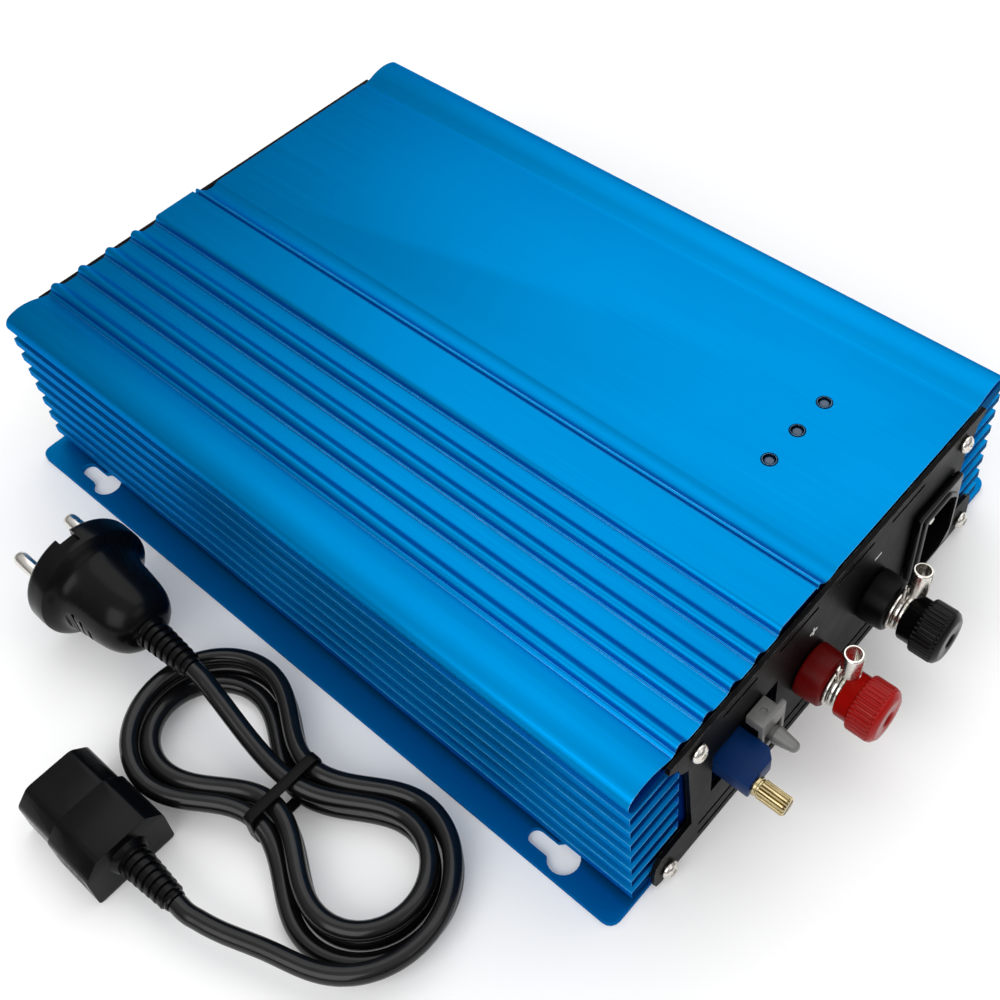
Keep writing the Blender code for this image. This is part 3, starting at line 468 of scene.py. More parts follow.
def soften(node, width, segments=2):
    """Eases a CAD node's own edges."""
    bevel = frame["nodes"][node].modifiers.new("ease", "BEVEL")
    bevel.width = width * MM
    bevel.segments = segments
    bevel.limit_method = "ANGLE"
    bevel.angle_limit = math.radians(40)
    bevel.harden_normals = True


# ---------------------------------------------------------------- case

CASE_LOW, CASE_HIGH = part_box("case_extrusion")
FIN_COUNT = 7
FIN_PITCH = 7.3
FIN_THICKNESS = 3.3
FIN_TOP = 52.8
FIN_REACH = 88.5
WALL = 69.0
FOOT_REACH = 80.0
INNER_FOOT = 55.0
RIDGE_NOSES = (-69.7, -58.8, -47.7, -37.0)
BAND_START = -26.3
BAND_END = -10.4
SAW_EDGE = 0.22
SCREW_PORT = 1.8
LAMP_HOLE = 2.75
DECK_Z = CASE_HIGH.z - 2.4 * MM      # the plain deck, round the lamps
SAWN = 0.9                           # a face is sawn where its normal lies this near Y


def ridge(nose):
    """One step of the deck: a fine ledge, a rounded nose that faces -X, and a quick fall behind it."""
    return [(nose - 2.1, 60.3), (nose - 1.6, 60.72), (nose - 1.05, 60.78), (nose - 0.95, 61.3),
            (nose - 0.6, 62.3), (nose + 0.2, 62.95), (nose + 1.2, 62.9), (nose + 2.3, 62.0),
            (nose + 3.4, 60.8), (nose + 4.8, 60.3)]


def case_side():
    """The left side of the section, from the foot up over the fins and round the lip."""
    bottom = CASE_LOW.z / MM
    fins = [(-INNER_FOOT, bottom), (-FOOT_REACH, bottom)]
    for i in reversed(range(FIN_COUNT)):
        top = FIN_TOP - i * FIN_PITCH
        root = -FOOT_REACH if i == FIN_COUNT - 1 else -WALL
        fins += [(root, top - FIN_THICKNESS), (-FIN_REACH, top - FIN_THICKNESS), (-FIN_REACH, top),
                 (-WALL, top)]
    lip = [(-86.6, 54.6), (-88.1, 56.1), (-88.9, 58.2), (-88.6, 60.0), (-87.3, 61.5), (-84.8, 62.4),
           (-81.5, 62.7), (-77.8, 62.1), (-74.6, 61.0), (-72, 60.2)]
    return eased(fins + [(-WALL, 54.6)], 0.25, steps=2) + smoothed(lip, 4)


def deck():
    """The top of the section: four ridges, the raised band, a groove and the plain deck."""
    waves = []
    for nose in RIDGE_NOSES:
        waves += ridge(nose)
    waves += ridge(BAND_START)[:6]
    band = [(BAND_START + 1.2, 63.0), (BAND_END, 63.0), (BAND_END + 0.3, 61.9), (BAND_END + 0.9, 61.9),
            (BAND_END + 1.2, 63.05), (BAND_END + 1.9, 63.05)]
    step = [(BAND_END + 3.0, 61.6), (BAND_END + 4.8, 60.2), (BAND_END + 7.0, 59.7), (BAND_END + 9.0, 60.0),
            (BAND_END + 10.6, 60.7)]
    return smoothed(waves, 4) + eased(band, 0.2) + smoothed(step, 4) + [(70.0, 60.7)]


def make_case():
    inside = [(INNER_FOOT, 7), (63.6, 7), (63.6, 50.5), (60.5, 50.5), (60.5, 57)]
    left = case_side()
    right = [(-x, z) for x, z in reversed(left)]
    outline = left + deck() + right + inside + [(-x, z) for x, z in reversed(inside)]
    ports = []
    for i in (1, 2, 3, 4):
        port = middle(f"front_screw_{i}")
        ports.append(circle((port.x / MM, port.z / MM), SCREW_PORT, 20))
    body = upright([outline] + ports, CASE_LOW.y / MM, CASE_HIGH.y / MM, SAW_EDGE)
    drills = []
    for i in (1, 2, 3):
        lamp = middle(f"lamp_{i}")
        drills.append(lathe([(0, 4), (LAMP_HOLE, 4), (LAMP_HOLE, 0.3), (2.3, -0.1), (2.3, -8), (0, -8)],
                            at(lamp.x, lamp.y, DECK_Z), 40))
    body = worked(body, drills)
    case = finish_piece("case_shell", body, BLUE, "housing", ["case_extrusion"], 38)
    # The sawn end faces, at both ends, take the near-black navy: painted shade.
    case.data.materials.append(DARK_NAVY_ANODISED)
    for face in case.data.polygons:
        if abs(face.normal.y) > SAWN:
            face.material_index = 1


def make_lamp_rings():
    """A thin dark ring let into the deck round each lamp, and the lamp's domed lens."""
    for i in (1, 2, 3):
        lamp = middle(f"lamp_{i}")
        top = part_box(f"lamp_{i}")[1].z
        ring = eased([(2.05, 0.12), (2.5, 0.12), (2.72, -0.1), (2.72, -0.3), (2.2, -0.5), (2.05, -0.5),
                      (2.05, 0.12)], 0.08)
        finish_piece(f"lamp_ring_{i}", lathe(ring, at(lamp.x, lamp.y, DECK_Z), 40), DARK_NAVY_ANODISED, "housing")
        lens = eased([(0, -0.15), (0.8, -0.2), (1.5, -0.45), (1.85, -1.0), (1.85, -9.0), (2.35, -9.1),
                      (2.35, -10.6), (0, -10.6)], 0.2)
        finish_piece(f"lamp_lens_{i}", lathe(lens, at(lamp.x, lamp.y, top), 32), LENS, "housing",
                     [f"lamp_{i}"])


# ---------------------------------------------------------------- screws

RECESS_REACH = 1.75
RECESS_DEPTH = 1.2


def recess():
    """A cross-recess tool: two tapering bars that meet, from above the head down into it."""
    bars = []
    for turn in (0, 90):
        shape = bmesh.new()
        corners = []
        for height, length, width in ((1.0, RECESS_REACH + 0.3, 0.42 * RECESS_REACH),
                                      (-RECESS_DEPTH, 0.45 * RECESS_REACH, 0.2 * RECESS_REACH)):
            corners.append([shape.verts.new((sx * length * MM, sy * width * MM, height * MM))
                            for sx, sy in ((-1, -1), (1, -1), (1, 1), (-1, 1))])
        loft(shape, corners)
        bars.append(meshed(shape, "bar", Matrix.Rotation(math.radians(turn), 4, "Z")))
    return worked(bars[0], joins=[bars[1]])


def screw_mesh(profile, head_top, spin, place):
    """A turned screw with a cross recess, spun so that no two sit alike."""
    tool = recess()
    tool.transform(Matrix.Translation((0, 0, head_top * MM)))
    body = worked(lathe(eased(profile, 0.12), UP, 40), [tool])
    body.transform(place @ Matrix.Rotation(math.radians(spin), 4, "Z"))
    return body


def make_screws():
    pan = [(0, 2.45), (1.1, 2.4), (1.9, 2.15), (2.5, 1.65), (2.85, 1.0), (2.9, 0.5), (2.8, 0.3), (1.5, 0.3),
           (1.5, -11), (1.1, -11.4), (0, -11.4)]
    flat = [(0, 0), (2.9, 0), (1.5, -1.5), (1.5, -8.1), (1.2, -8.4), (0, -8.4)]
    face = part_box("front_panel")[0].y
    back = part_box("rear_panel")[1].y
    for i in (1, 2, 3, 4):
        foot = middle(f"base_screw_{i}")
        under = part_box(f"base_screw_{i}")[0].z
        for name, profile, top, spin, place in (
            (f"front_screw_{i}", pan, 2.45, 20 + 31 * i, on_axis(f"front_screw_{i}", face)),
            (f"rear_screw_{i}", pan, 2.45, 8 + 47 * i, on_axis(f"rear_screw_{i}", back, REAR)),
            (f"base_screw_{i}", flat, 0.0, 13 + 23 * i, at(foot.x, foot.y, under, DOWN)),
        ):
            finish_piece(name + "_cross", screw_mesh(profile, top, spin, place), NICKEL, "housing",
                         [name])


# ---------------------------------------------------------------- terminals

STUD_BORE = 3.4
THREAD_PITCH = 1.0
SPLIT_STEPS = 44
CAP_RIBS = 36
GRIP_LOW, GRIP_HIGH = 4.7, 12.1
RIB_DEPTH = 0.5
LUG_THICKNESS = 1.2
LUG_TURN = {"red": 0.0, "black": 8.0}
MARK_LENGTH = 3.4
MARK_WIDTH = 0.8
MARK_RISE = 18


def cap_rib(angle, radius, height):
    """Grooves between the grip's ribs, fading out at the collar and over the eased rim."""
    if radius < 7.6 or not GRIP_LOW <= height <= GRIP_HIGH:
        return radius
    wave = 0.5 + 0.5 * math.cos(angle * CAP_RIBS)
    fade = min(1.0, (height - GRIP_LOW) / 0.5, (GRIP_HIGH - height) / 0.6)
    return radius - RIB_DEPTH * fade * (1 - min(1.0, 1.5 * wave) ** 2)


def make_cap(colour, material):
    """A screw cap: a plain collar, a ribbed grip, an eased rim and a hole for a test plug."""
    place = on_axis(f"{colour}_cap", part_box(f"{colour}_cap")[1].y)
    profile = [(2.3, 10.8), (2.3, 13.2), (2.7, 13.6), (6.3, 13.6), (6.8, 13.5), (7.5, 13.0), (8.1, 12.5),
               (8.3, 12.2), (8.35, 12.0), (8.35, 11.6), (8.55, 11.4), (8.6, 11.0), (8.6, 9.4), (8.6, 7.8),
               (8.6, 6.2), (8.58, 5.2), (8.3, 4.8), (7.6, 4.5), (7.3, 4.2), (7.3, 0.6), (7.0, 0.1),
               (3.5, 0.1), (STUD_BORE, 0.3), (STUD_BORE, 10.8), (2.3, 10.8)]
    body = lathe(profile, place, CAP_RIBS * 10, cap_rib)
    finish_piece(f"{colour}_cap_ribbed", body, material, f"{colour}_cap",
                 [f"{colour}_cap"], 50)


def make_bush(colour, material):
    """The insulator between the panel and the lug: a fat, slightly tapered barrel."""
    place = on_axis(f"{colour}_post_bush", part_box("front_panel")[0].y)
    profile = [(STUD_BORE, 8.4), (7.3, 8.4), (7.8, 8.15), (8.1, 7.7), (8.2, 6.9), (8.35, 5.0), (8.45, 3.0),
               (8.5, 1.4), (8.5, 0.7), (8.2, 0.3), (STUD_BORE, 0.3), (STUD_BORE, 8.4)]
    finish_piece(f"{colour}_bush", lathe(eased(profile, 0.15), place, 72), material, "housing",
                 [f"{colour}_post_bush"])


def make_stud(colour):
    """A stud with a rolled thread on all of its length and a socket in its front end."""
    low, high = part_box(f"{colour}_post_stud")
    length = (high.y - low.y) / MM
    crests = [(0, length - 15), (2.0, length - 15), (2.0, length - 0.2), (2.3, length)]
    for i in range(int(length / THREAD_PITCH) - 1):
        top = length - 0.7 - i * THREAD_PITCH
        crests += [(2.98, top), (2.98, top - 0.15), (2.55, top - 0.5), (2.55, top - 0.6)]
    crests += [(2.4, 0), (0, 0)]
    stud = lathe(crests, on_axis(f"{colour}_post_stud", high.y), 32)
    finish_piece(f"{colour}_stud", stud, NICKEL, "housing", [f"{colour}_post_stud"], 25)


def make_washers(colour):
    """The flat washer behind the lug and the split lock washer in front of it."""
    washer = f"{colour}_post_washer"
    flat = eased([(STUD_BORE, 0.4), (6.6, 0.4), (6.6, -0.4), (STUD_BORE, -0.4), (STUD_BORE, 0.4)], 0.18)
    finish_piece(f"{colour}_washer", lathe(flat, on_axis(washer, middle(washer).y), 56), NICKEL, "housing",
                 [washer])
    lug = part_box(f"{colour}_ring_lug")[1].y - LUG_THICKNESS * MM
    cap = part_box(f"{colour}_cap")[1].y
    wire = eased([(3.35, -0.45), (5.7, -0.45), (5.7, 0.45), (3.35, 0.45)], 0.15, closed=True, steps=2)
    shape = bmesh.new()
    sections = []
    for i in range(SPLIT_STEPS + 1):
        angle = math.radians(71 + 342 * i / SPLIT_STEPS)
        lift = 0.3 * (i / SPLIT_STEPS - 0.5)
        sections.append([shape.verts.new((r * MM * math.cos(angle), r * MM * math.sin(angle),
                                          (h + lift) * MM)) for r, h in wire])
    loft(shape, sections)
    split = meshed(shape, "split", on_axis(washer, (lug + cap) / 2))
    finish_piece(f"{colour}_split_washer", split, NICKEL, "housing")


def make_lug(colour):
    """A crimp lug: ring, tongue and barrel, with a brazed seam down the barrel."""
    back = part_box(f"{colour}_ring_lug")[1].y
    post = middle(f"{colour}_post_stud")
    half = 2.5
    start = math.pi / 2 + math.asin(half / 6)
    ring = circle((0, 0), 6, 40, start, 2 * math.pi - 2 * (start - math.pi / 2))
    outline = ring + [(half, 8.6), (2.9, 10.4), (2.9, 12.4), (-2.9, 12.4), (-2.9, 10.4), (-half, 8.6)]
    plate = sheet([outline, circle((0, 0), STUD_BORE, 36)], LUG_THICKNESS, FRONT, 0.2)
    forward = -2.4 * MM
    tube = eased([(2.3, 20), (2.7, 20), (3.0, 19.7), (3.0, 10.9), (2.7, 10.6), (2.3, 10.6), (2.3, 20)], 0.12)
    barrel = lathe(tube, at(0, forward, 0), 48)
    seam = worked(block((-0.35, -5.65, 10.9), (0.35, -5.1, 19.6)), bevel=0.15)
    bore = lathe([(0, 21), (2.3, 21), (2.3, 9), (0, 9)], at(0, forward, 0), 48)
    body = worked(worked(plate, [bore], [barrel]), [seam])
    turn = Matrix.Rotation(math.radians(LUG_TURN[colour]), 4, "Y")
    body.transform(Matrix.Translation((post.x, back - LUG_THICKNESS / 2 * MM, post.z)) @ turn)
    finish_piece(f"{colour}_lug_crimped", body, NICKEL, f"{colour}_lug", [f"{colour}_ring_lug"], 32)


def make_terminals():
    for colour, cap, bush in (("red", RED, RED_MATT), ("black", BLACK, BLACK_MATT)):
        make_cap(colour, cap)
        make_bush(colour, bush)
        make_stud(colour)
        make_washers(colour)
        make_lug(colour)
        soften(f"{colour}_post_nut", 0.3)


def make_marks():
    """Plain plus and minus marks over the two posts."""
    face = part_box("front_panel")[0].y
    a, b = MARK_LENGTH / 2, MARK_WIDTH / 2
    plus = [(b, b), (a, b), (a, -b), (b, -b), (b, -a), (-b, -a), (-b, -b), (-a, -b), (-a, b), (-b, b),
            (-b, a), (b, a)]
    for colour, mark in (("red", plus), ("black", rectangle((0, 0), (MARK_LENGTH, MARK_WIDTH)))):
        post = middle(f"{colour}_post_stud")
        mesh = sheet([eased(mark, 0.12, closed=True, steps=2)], 0.08,
                     at(post.x, face - 0.05 * MM, post.z + MARK_RISE * MM, FRONT), 0.02)
        finish_piece(f"{colour}_post_mark", mesh, WHITE_INK, "housing")


# ---------------------------------------------------------------- inlet, dial and switch

BLADE_TAPER = 2.4
SHAFT_RIBS = 18
SHAFT_RIB_DEPTH = 0.75
SHAFT_TURN = 28
LEVER_PIVOT = -133.5


def make_inlet():
    """A mains inlet turned upright: flange, collar with two cut corners, cavity and three blades."""
    low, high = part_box("inlet_housing")
    centre = (low + high) / 2
    x, z = centre.x / MM, centre.z / MM
    front = low.y / MM
    back = high.y / MM
    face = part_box("front_panel")[0].y / MM
    flange_back = face - GAP

    def outline(width, height, corner):
        return eased(rectangle((x, z), (width, height)), corner, closed=True, steps=5)

    def nose(half_w, half_h, cut):
        line = [(x - half_w, z - half_h), (x + half_w - cut, z - half_h), (x + half_w, z - half_h + cut),
                (x + half_w, z + half_h - cut), (x + half_w - cut, z + half_h), (x - half_w, z + half_h)]
        return eased(line, 1.2, closed=True, steps=4)

    width, height = (high.x - low.x) / MM, (high.z - low.z) / MM
    flange = upright([outline(width, height, 1.6)], flange_back - 2.2, flange_back, 0.45)
    collar = upright([nose(10.2, 14.2, 6.0)], front, flange_back, 0.5)
    body = upright([outline(20.6, 28.6, 0.8)], face - 1.5, back, 0.2)
    cavity = upright([nose(8.25, 12.25, 4.5)], front - 1, front + 15)
    rim = upright([nose(8.7, 12.7, 4.7)], front - 1.5, front + 0.5)
    holes = []
    for name in ("line", "earth", "neutral"):
        p = middle(f"inlet_{name}_pin") / MM
        holes.append(block((p.x - 2.3, front + 13, p.z - 1.3), (p.x + 2.3, back + 1, p.z + 1.3)))
    socket = worked(flange, [cavity, rim] + holes, [collar, body])
    finish_piece("inlet_socket", socket, BLACK, "housing", ["inlet_housing"], 30)
    for name in ("line", "earth", "neutral"):
        pin_low, pin_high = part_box(f"inlet_{name}_pin")
        root = (pin_high.y - pin_low.y) / MM - BLADE_TAPER
        blade = [(-2.0, 0), (-1.2, -BLADE_TAPER), (1.2, -BLADE_TAPER), (2.0, 0), (2.0, root), (-2.0, root)]
        place = on_axis(f"inlet_{name}_pin", pin_low.y + BLADE_TAPER * MM, UP)
        mesh = sheet([eased(blade, 0.5, closed=True)], 2.0, place, 0.45)
        finish_piece(f"inlet_{name}_blade", mesh, NICKEL, "housing", [f"inlet_{name}_pin"])


def shaft_rib(angle, radius, height):
    """V-shaped knurling on the shaft's outer half."""
    if radius < 2.6 or height < 2.2:
        return radius
    wave = abs(((angle * SHAFT_RIBS / (2 * math.pi)) % 1.0) * 2 - 1)
    return radius - SHAFT_RIB_DEPTH * (1 - min(1.0, 1.8 * wave))


def make_dial():
    """The dial's body with one chamfered corner, and its knurled shaft with a split end."""
    low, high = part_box("dial_body")
    length, height = (high.y - low.y) / MM, (high.z - low.z) / MM
    w = (high.x - low.x) / MM / 2
    centre = (low + high) / 2
    chamfer = 2.6
    outline = [(-w, 0), (w - chamfer, 0), (w, chamfer), (w, length), (-w, length)]
    body = sheet([eased(outline, 0.5, closed=True)], height, at(centre.x, low.y, centre.z), 0.4)
    place = on_axis("dial_shaft", low.y)
    bore = lathe([(0, 1), (1.9, 1), (1.9, -5), (0, -5)], place, 32)
    finish_piece("dial_housing", worked(body, [bore]), NAVY, "housing", ["dial_body"], 30)
    tip = (low.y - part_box("dial_shaft")[0].y) / MM
    profile = [(0, tip), (2.2, tip), (2.65, tip - 0.3), (2.9, tip - 0.7), (2.9, 5.5), (2.9, 2.6), (2.9, 2.2),
               (2.55, 1.9), (2.55, 1.5), (2.85, 1.3), (2.85, 0.6), (1.5, 0.5), (1.5, -4.4), (0, -4.4)]
    split = block((-4, -0.5, tip - 7), (4, 0.5, tip + 1))
    shaft = worked(lathe(profile, UP, 160, shaft_rib), [split])
    shaft.transform(place @ Matrix.Rotation(math.radians(SHAFT_TURN), 4, "Z"))
    finish_piece("dial_knurled_shaft", shaft, BRASS, "dial", ["dial_shaft"], 24)


def make_switch():
    """The switch's plate with a tab back to the panel, and its conical lever."""
    low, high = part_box("switch_frame")
    centre = (low + high) / 2
    lever = middle("switch_lever")
    x, z = lever.x / MM, lever.z / MM
    w = (high.x - low.x) / MM / 2
    bottom, top = low.z / MM, high.z / MM
    near, far = low.y / MM, high.y / MM
    outline = eased([(x - w, bottom), (x + w, bottom), (x + w, top), (x - w, top)], 0.8, closed=True)
    hole = eased(rectangle((x, z), (7.8, 5.6)), 0.6, closed=True)
    plate = upright([outline, hole], near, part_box("switch_body")[0].y / MM - GAP, 0.3)
    tab_line = eased([(x - w, z + 5.6), (x + 3, z + 5.6), (x + 3, top), (x - w, top)], 0.7, closed=True)
    tab = upright([tab_line], near, far, 0.3)
    dimple = lathe([(0, 1), (1.3, 1), (1.1, -0.5), (0, -0.5)], at(centre.x - 1.2 * MM, centre.y, high.z), 28)
    finish_piece("switch_plate", worked(plate, [dimple], [tab]), GREY, "housing",
                 ["switch_frame"], 30)
    tip = LEVER_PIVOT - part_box("switch_lever")[0].y / MM
    bat = smoothed([(0.01, tip), (0.75, tip - 0.1), (1.3, tip - 0.45), (1.65, tip - 1.1), (1.85, tip - 2.2),
                    (2.15, tip - 3.8), (2.45, tip - 5.6), (2.65, tip - 6.8), (2.55, tip - 7.3),
                    (2.15, tip - 8.0), (2.15, -1.0), (1.5, -1.9), (0.01, -2.2)], 3)
    bat = [(0, tip)] + bat[1:-1] + [(0, -2.2)]
    turned = lathe(bat, on_axis("switch_lever", LEVER_PIVOT * MM), 40)
    finish_piece("switch_bat", turned, GREY, "lever", ["switch_lever"])


# ---------------------------------------------------------------- fan

BLADES = 7
BLADE_STEPS = 8
HUB_RADIUS = 9.2
BLADE_REACH = 12.6


def fan_blade(depth):
    """One curved blade, its twist easing off towards the tip."""
    shape = bmesh.new()
    rows = []
    for k in range(BLADE_STEPS + 1):
        out = k / BLADE_STEPS
        r = HUB_RADIUS + BLADE_REACH * out
        twist = math.radians(52 - 20 * out)
        chord = 8.2 + 1.4 * out
        row = []
        for side in (1, -1):
            for j in range(BLADE_STEPS + 1):
                s = (j / BLADE_STEPS - 0.5) * side
                bow = 1.2 * (1 - 4 * s * s)
                across = s * chord * math.cos(twist) + bow * math.sin(twist)
                along = s * chord * math.sin(twist) - bow * math.cos(twist)
                thin = 0.45 * (1 - 3.4 * s * s) * side
                angle = across / r + 0.05 * out
                row.append(shape.verts.new((r * MM * math.cos(angle), r * MM * math.sin(angle),
                                            (depth / 2 + along + thin) * MM)))
        rows.append(row)
    loft(shape, rows)
    return meshed(shape, "blade")


def make_fan():
    """A rotor with curved, tapering blades on a domed hub."""
    low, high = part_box("fan_rotor")
    depth = (high.y - low.y) / MM
    place = on_axis("fan_frame", low.y, REAR)
    hub = lathe(eased([(0, depth - 0.3), (8.8, depth - 0.3), (9.8, depth - 1.3), (9.8, 0.2), (0, 0.2)], 0.6),
                place, 56)
    pieces = [hub]
    for i in range(BLADES):
        blade = fan_blade(depth)
        blade.transform(place @ Matrix.Rotation(2 * math.pi * i / BLADES, 4, "Z"))
        pieces.append(blade)
    finish_piece("fan_blades", joined(pieces), BLACK_MATT, "fan", ["fan_rotor"])
    soften("fan_frame", 0.5)


# ---------------------------------------------------------------- mains lead

CORD_RADIUS = 2.8
LANE = 5.9             # from one strand's middle to the next
HANK_X = -129.0
HANK_Y = -37.0
HALF_RUN = 33.0
INNER_LOOP = 18.6
TIE_LAYER = 4.3        # the lowest strands' height on the tie
TIE_RISE = 22.0        # how far from the tie they lie on the floor again
TIE_WIDTH = 3.4
POINT_GAP = 4.0
RELAX_ROUNDS = 6
ROUTE_TO_CONNECTOR = ((-168.6, -38.4, 9.35), (-168.5, -44, 9.2), (-167.4, -50, 8.8), (-165.2, -56, 8.6),
                      (-162.6, -62, 8.9), (-160.4, -67.5, 9.6))
ROUTE_TO_PLUG = ((-126.0, -27, 10.9), (-125.4, -21, 12.0), (-124.6, -14, 13.9), (-123.6, -7, 15.9),
                 (-122.7, -1, 17.6), (-122.2, 4, 18.6), (-122, 8.5, 18.9))


def smooth(t):
    t = min(max(t, 0.0), 1.0)
    return t * t * (3 - 2 * t)


def half_width(y, column):
    """How far from the hank's long axis a strand of this column lies, y from the tie."""
    waist = LANE * (0.5 + column)
    loop = INNER_LOOP + LANE * column
    return waist + (loop - waist) * (1 - math.cos(math.pi * min(abs(y) / HALF_RUN, 1.0))) / 2


def hank_turn(lane_at, start=0.0, end=4.0, step=0.05):
    """Points of one turn: 0 to 1 the lower arc, to 2 the right side, to 3 the upper arc, to 4 the left side.
    lane_at(phase) gives the strand's column and layer there."""
    points = []
    for i in range(round((end - start) / step)):
        phase = start + i * step
        column, layer = lane_at(phase)
        loop = INNER_LOOP + LANE * column
        part = phase % 1.0
        if phase < 1:
            x, y = -loop * math.cos(math.pi * part), -HALF_RUN - loop * math.sin(math.pi * part)
        elif phase < 2:
            y = -HALF_RUN + 2 * HALF_RUN * part
            x = half_width(y, column)
        elif phase < 3:
            x, y = loop * math.cos(math.pi * part), HALF_RUN + loop * math.sin(math.pi * part)
        else:
            y = HALF_RUN - 2 * HALF_RUN * part
            x = -half_width(y, column)
        rest = CORD_RADIUS + 0.05
        z = rest + (TIE_LAYER - rest) * (1 - smooth(abs(y) / TIE_RISE)) + LANE * layer
        points.append((x + HANK_X, y + HANK_Y, z))
    return points


def cord_route():
    """The lead from the connector, round the hank's turns and over them to the plug, in mm.
    Each function gives one turn's column and layer."""
    def first(phase):
        return 1.0 + 1.03 * (1 - smooth(phase / 0.8)), 1.0 - smooth((phase - 3.3) / 0.55)

    def second(phase):
        return 1.0 - smooth((phase - 2.6) / 0.75), 0.0

    def third(phase):
        return 0.0, smooth((phase - 2.05) / 0.9)

    def fourth(phase):
        return 0.0, 1.0

    route = list(ROUTE_TO_CONNECTOR)
    route += hank_turn(first, 0.05)
    route += hank_turn(second)
    route += hank_turn(third)
    route += hank_turn(fourth, 0.0, 1.55)
    return route + list(ROUTE_TO_PLUG)


def spaced(points):
    """Points about POINT_GAP apart along the line."""
    points = [Vector(p) for p in points]
    lengths = [0.0]
    for a, b in zip(points, points[1:]):
        lengths.append(lengths[-1] + (b - a).length)
    count = round(lengths[-1] / POINT_GAP)
    out = []
    k = 0
    for i in range(count + 1):
        target = lengths[-1] * i / count
        while k < len(points) - 2 and lengths[k + 1] < target:
            k += 1
        t = (target - lengths[k]) / max(lengths[k + 1] - lengths[k], 1e-9)
        out.append(points[k].lerp(points[k + 1], min(max(t, 0), 1)))
    return out


def relaxed(points):
    """The line with its small kinks averaged out, its ends kept."""
    for _ in range(RELAX_ROUNDS):
        inner = [(a + b * 2 + c) / 4 for a, b, c in zip(points, points[1:], points[2:])]
        points = [points[0], points[1]] + inner[1:-1] + [points[-2], points[-1]]
    return points


def make_cord(pieces):
    points = relaxed(spaced(smoothed(cord_route(), 3)))
    curve = bpy.data.curves.new("cord", "CURVE")
    curve.dimensions = "3D"
    curve.bevel_depth = CORD_RADIUS * MM
    curve.bevel_resolution = 6
    curve.use_fill_caps = True
    curve.resolution_u = 4
    spline = curve.splines.new("BEZIER")
    spline.bezier_points.add(len(points) - 1)
    for point, p in zip(spline.bezier_points, points):
        point.co = p * MM
        point.handle_left_type = point.handle_right_type = "AUTO"
    curve.materials.append(RUBBER)
    cord = bpy.data.objects.new("mains_cord", curve)
    bpy.context.scene.collection.objects.link(cord)
    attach(cord, "housing")
    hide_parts("cord_hank", "cord_to_connector", "cord_to_plug")


def relief_profile(top, thick, thin, length, rings):
    """A tapering strain relief with raised rings, from height top downwards, in mm."""
    pitch = length / rings
    points = []
    for i in range(rings):
        share = i / rings
        r = thick + (thin - thick) * share
        high = top - i * pitch
        points += [(r, high), (r, high - 0.55 * pitch), (r - 0.75, high - 0.65 * pitch),
                   (r - 0.75, high - 0.9 * pitch)]
    return points


PLUG_RADIUS = 18.7
PIN_OFFSET = 9.5


def make_plug():
    """The round plug, lying on its side: a sunk face, a waisted grip, a ribbed relief and two pins."""
    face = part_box("plug_body")[1].y
    head = [(0, -0.9), (14.9, -0.9), (15.6, -0.2), (17.3, -0.1), (18.0, -0.3), (18.6, -1.2),
            (PLUG_RADIUS, -3), (PLUG_RADIUS, -7.6), (18.3, -8.6), (17.2, -9.6), (15.2, -11.2), (14.2, -13),
            (13.6, -16), (13.1, -20), (12.5, -25), (11.6, -29.5), (9.8, -33.2), (7.2, -35.6), (5.2, -36.4)]
    tail = relief_profile(-36.8, 4.9, 3.6, 18.4, 7)
    profile = smoothed(head, 2) + tail + [(3.1, -55.4), (2.95, -56), (0, -56)]
    profile = [(0, -0.9)] + profile[1:]
    body = lathe(profile, UP, 72)
    cuts = []
    for side in (-1, 1):
        edge = side * PLUG_RADIUS
        cuts.append(worked(block((-2.6, edge - 3.2, -6.6), (2.6, edge + 3.2, 1)), bevel=0.4))
        cuts.append(worked(block((side * 17.5 - 4.6, -6.5, -33), (side * 17.5 + 4.6, 6.5, -13)), bevel=2.2))
        for k in range(4):
            low = -17.2 - 3.4 * k
            cuts.append(block((side * 13.0 - 0.6, -5, low), (side * 13.0 + 0.6, 5, low + 1.2)))
        cuts.append(lathe([(0, 2), (2.7, 2), (2.7, -6), (0, -6)], at(side * PIN_OFFSET * MM, 0, 0), 28))
    body = worked(body, cuts)
    body.transform(on_axis("plug_body", face, REAR))
    plug = finish_piece("plug_moulding", body, BLACK, "housing", ["plug_body"], 32)
    pins = []
    for i in (1, 2):
        tip = (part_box(f"plug_pin_{i}")[1].y - face) / MM
        profile = [(0, tip), (1.3, tip - 0.05), (1.9, tip - 0.5), (2.25, tip - 1.4), (2.4, tip - 2.4),
                   (2.4, 8.0), (2.2, 7.6), (2.2, 0.2), (2.4, -0.3), (2.4, -5.7), (0, -5.7)]
        turned = lathe(profile, on_axis(f"plug_pin_{i}", face, REAR), 36)
        pins.append(finish_piece(f"plug_round_pin_{i}", turned, NICKEL, "housing",
                                 [f"plug_pin_{i}"]))
    return [plug] + pins


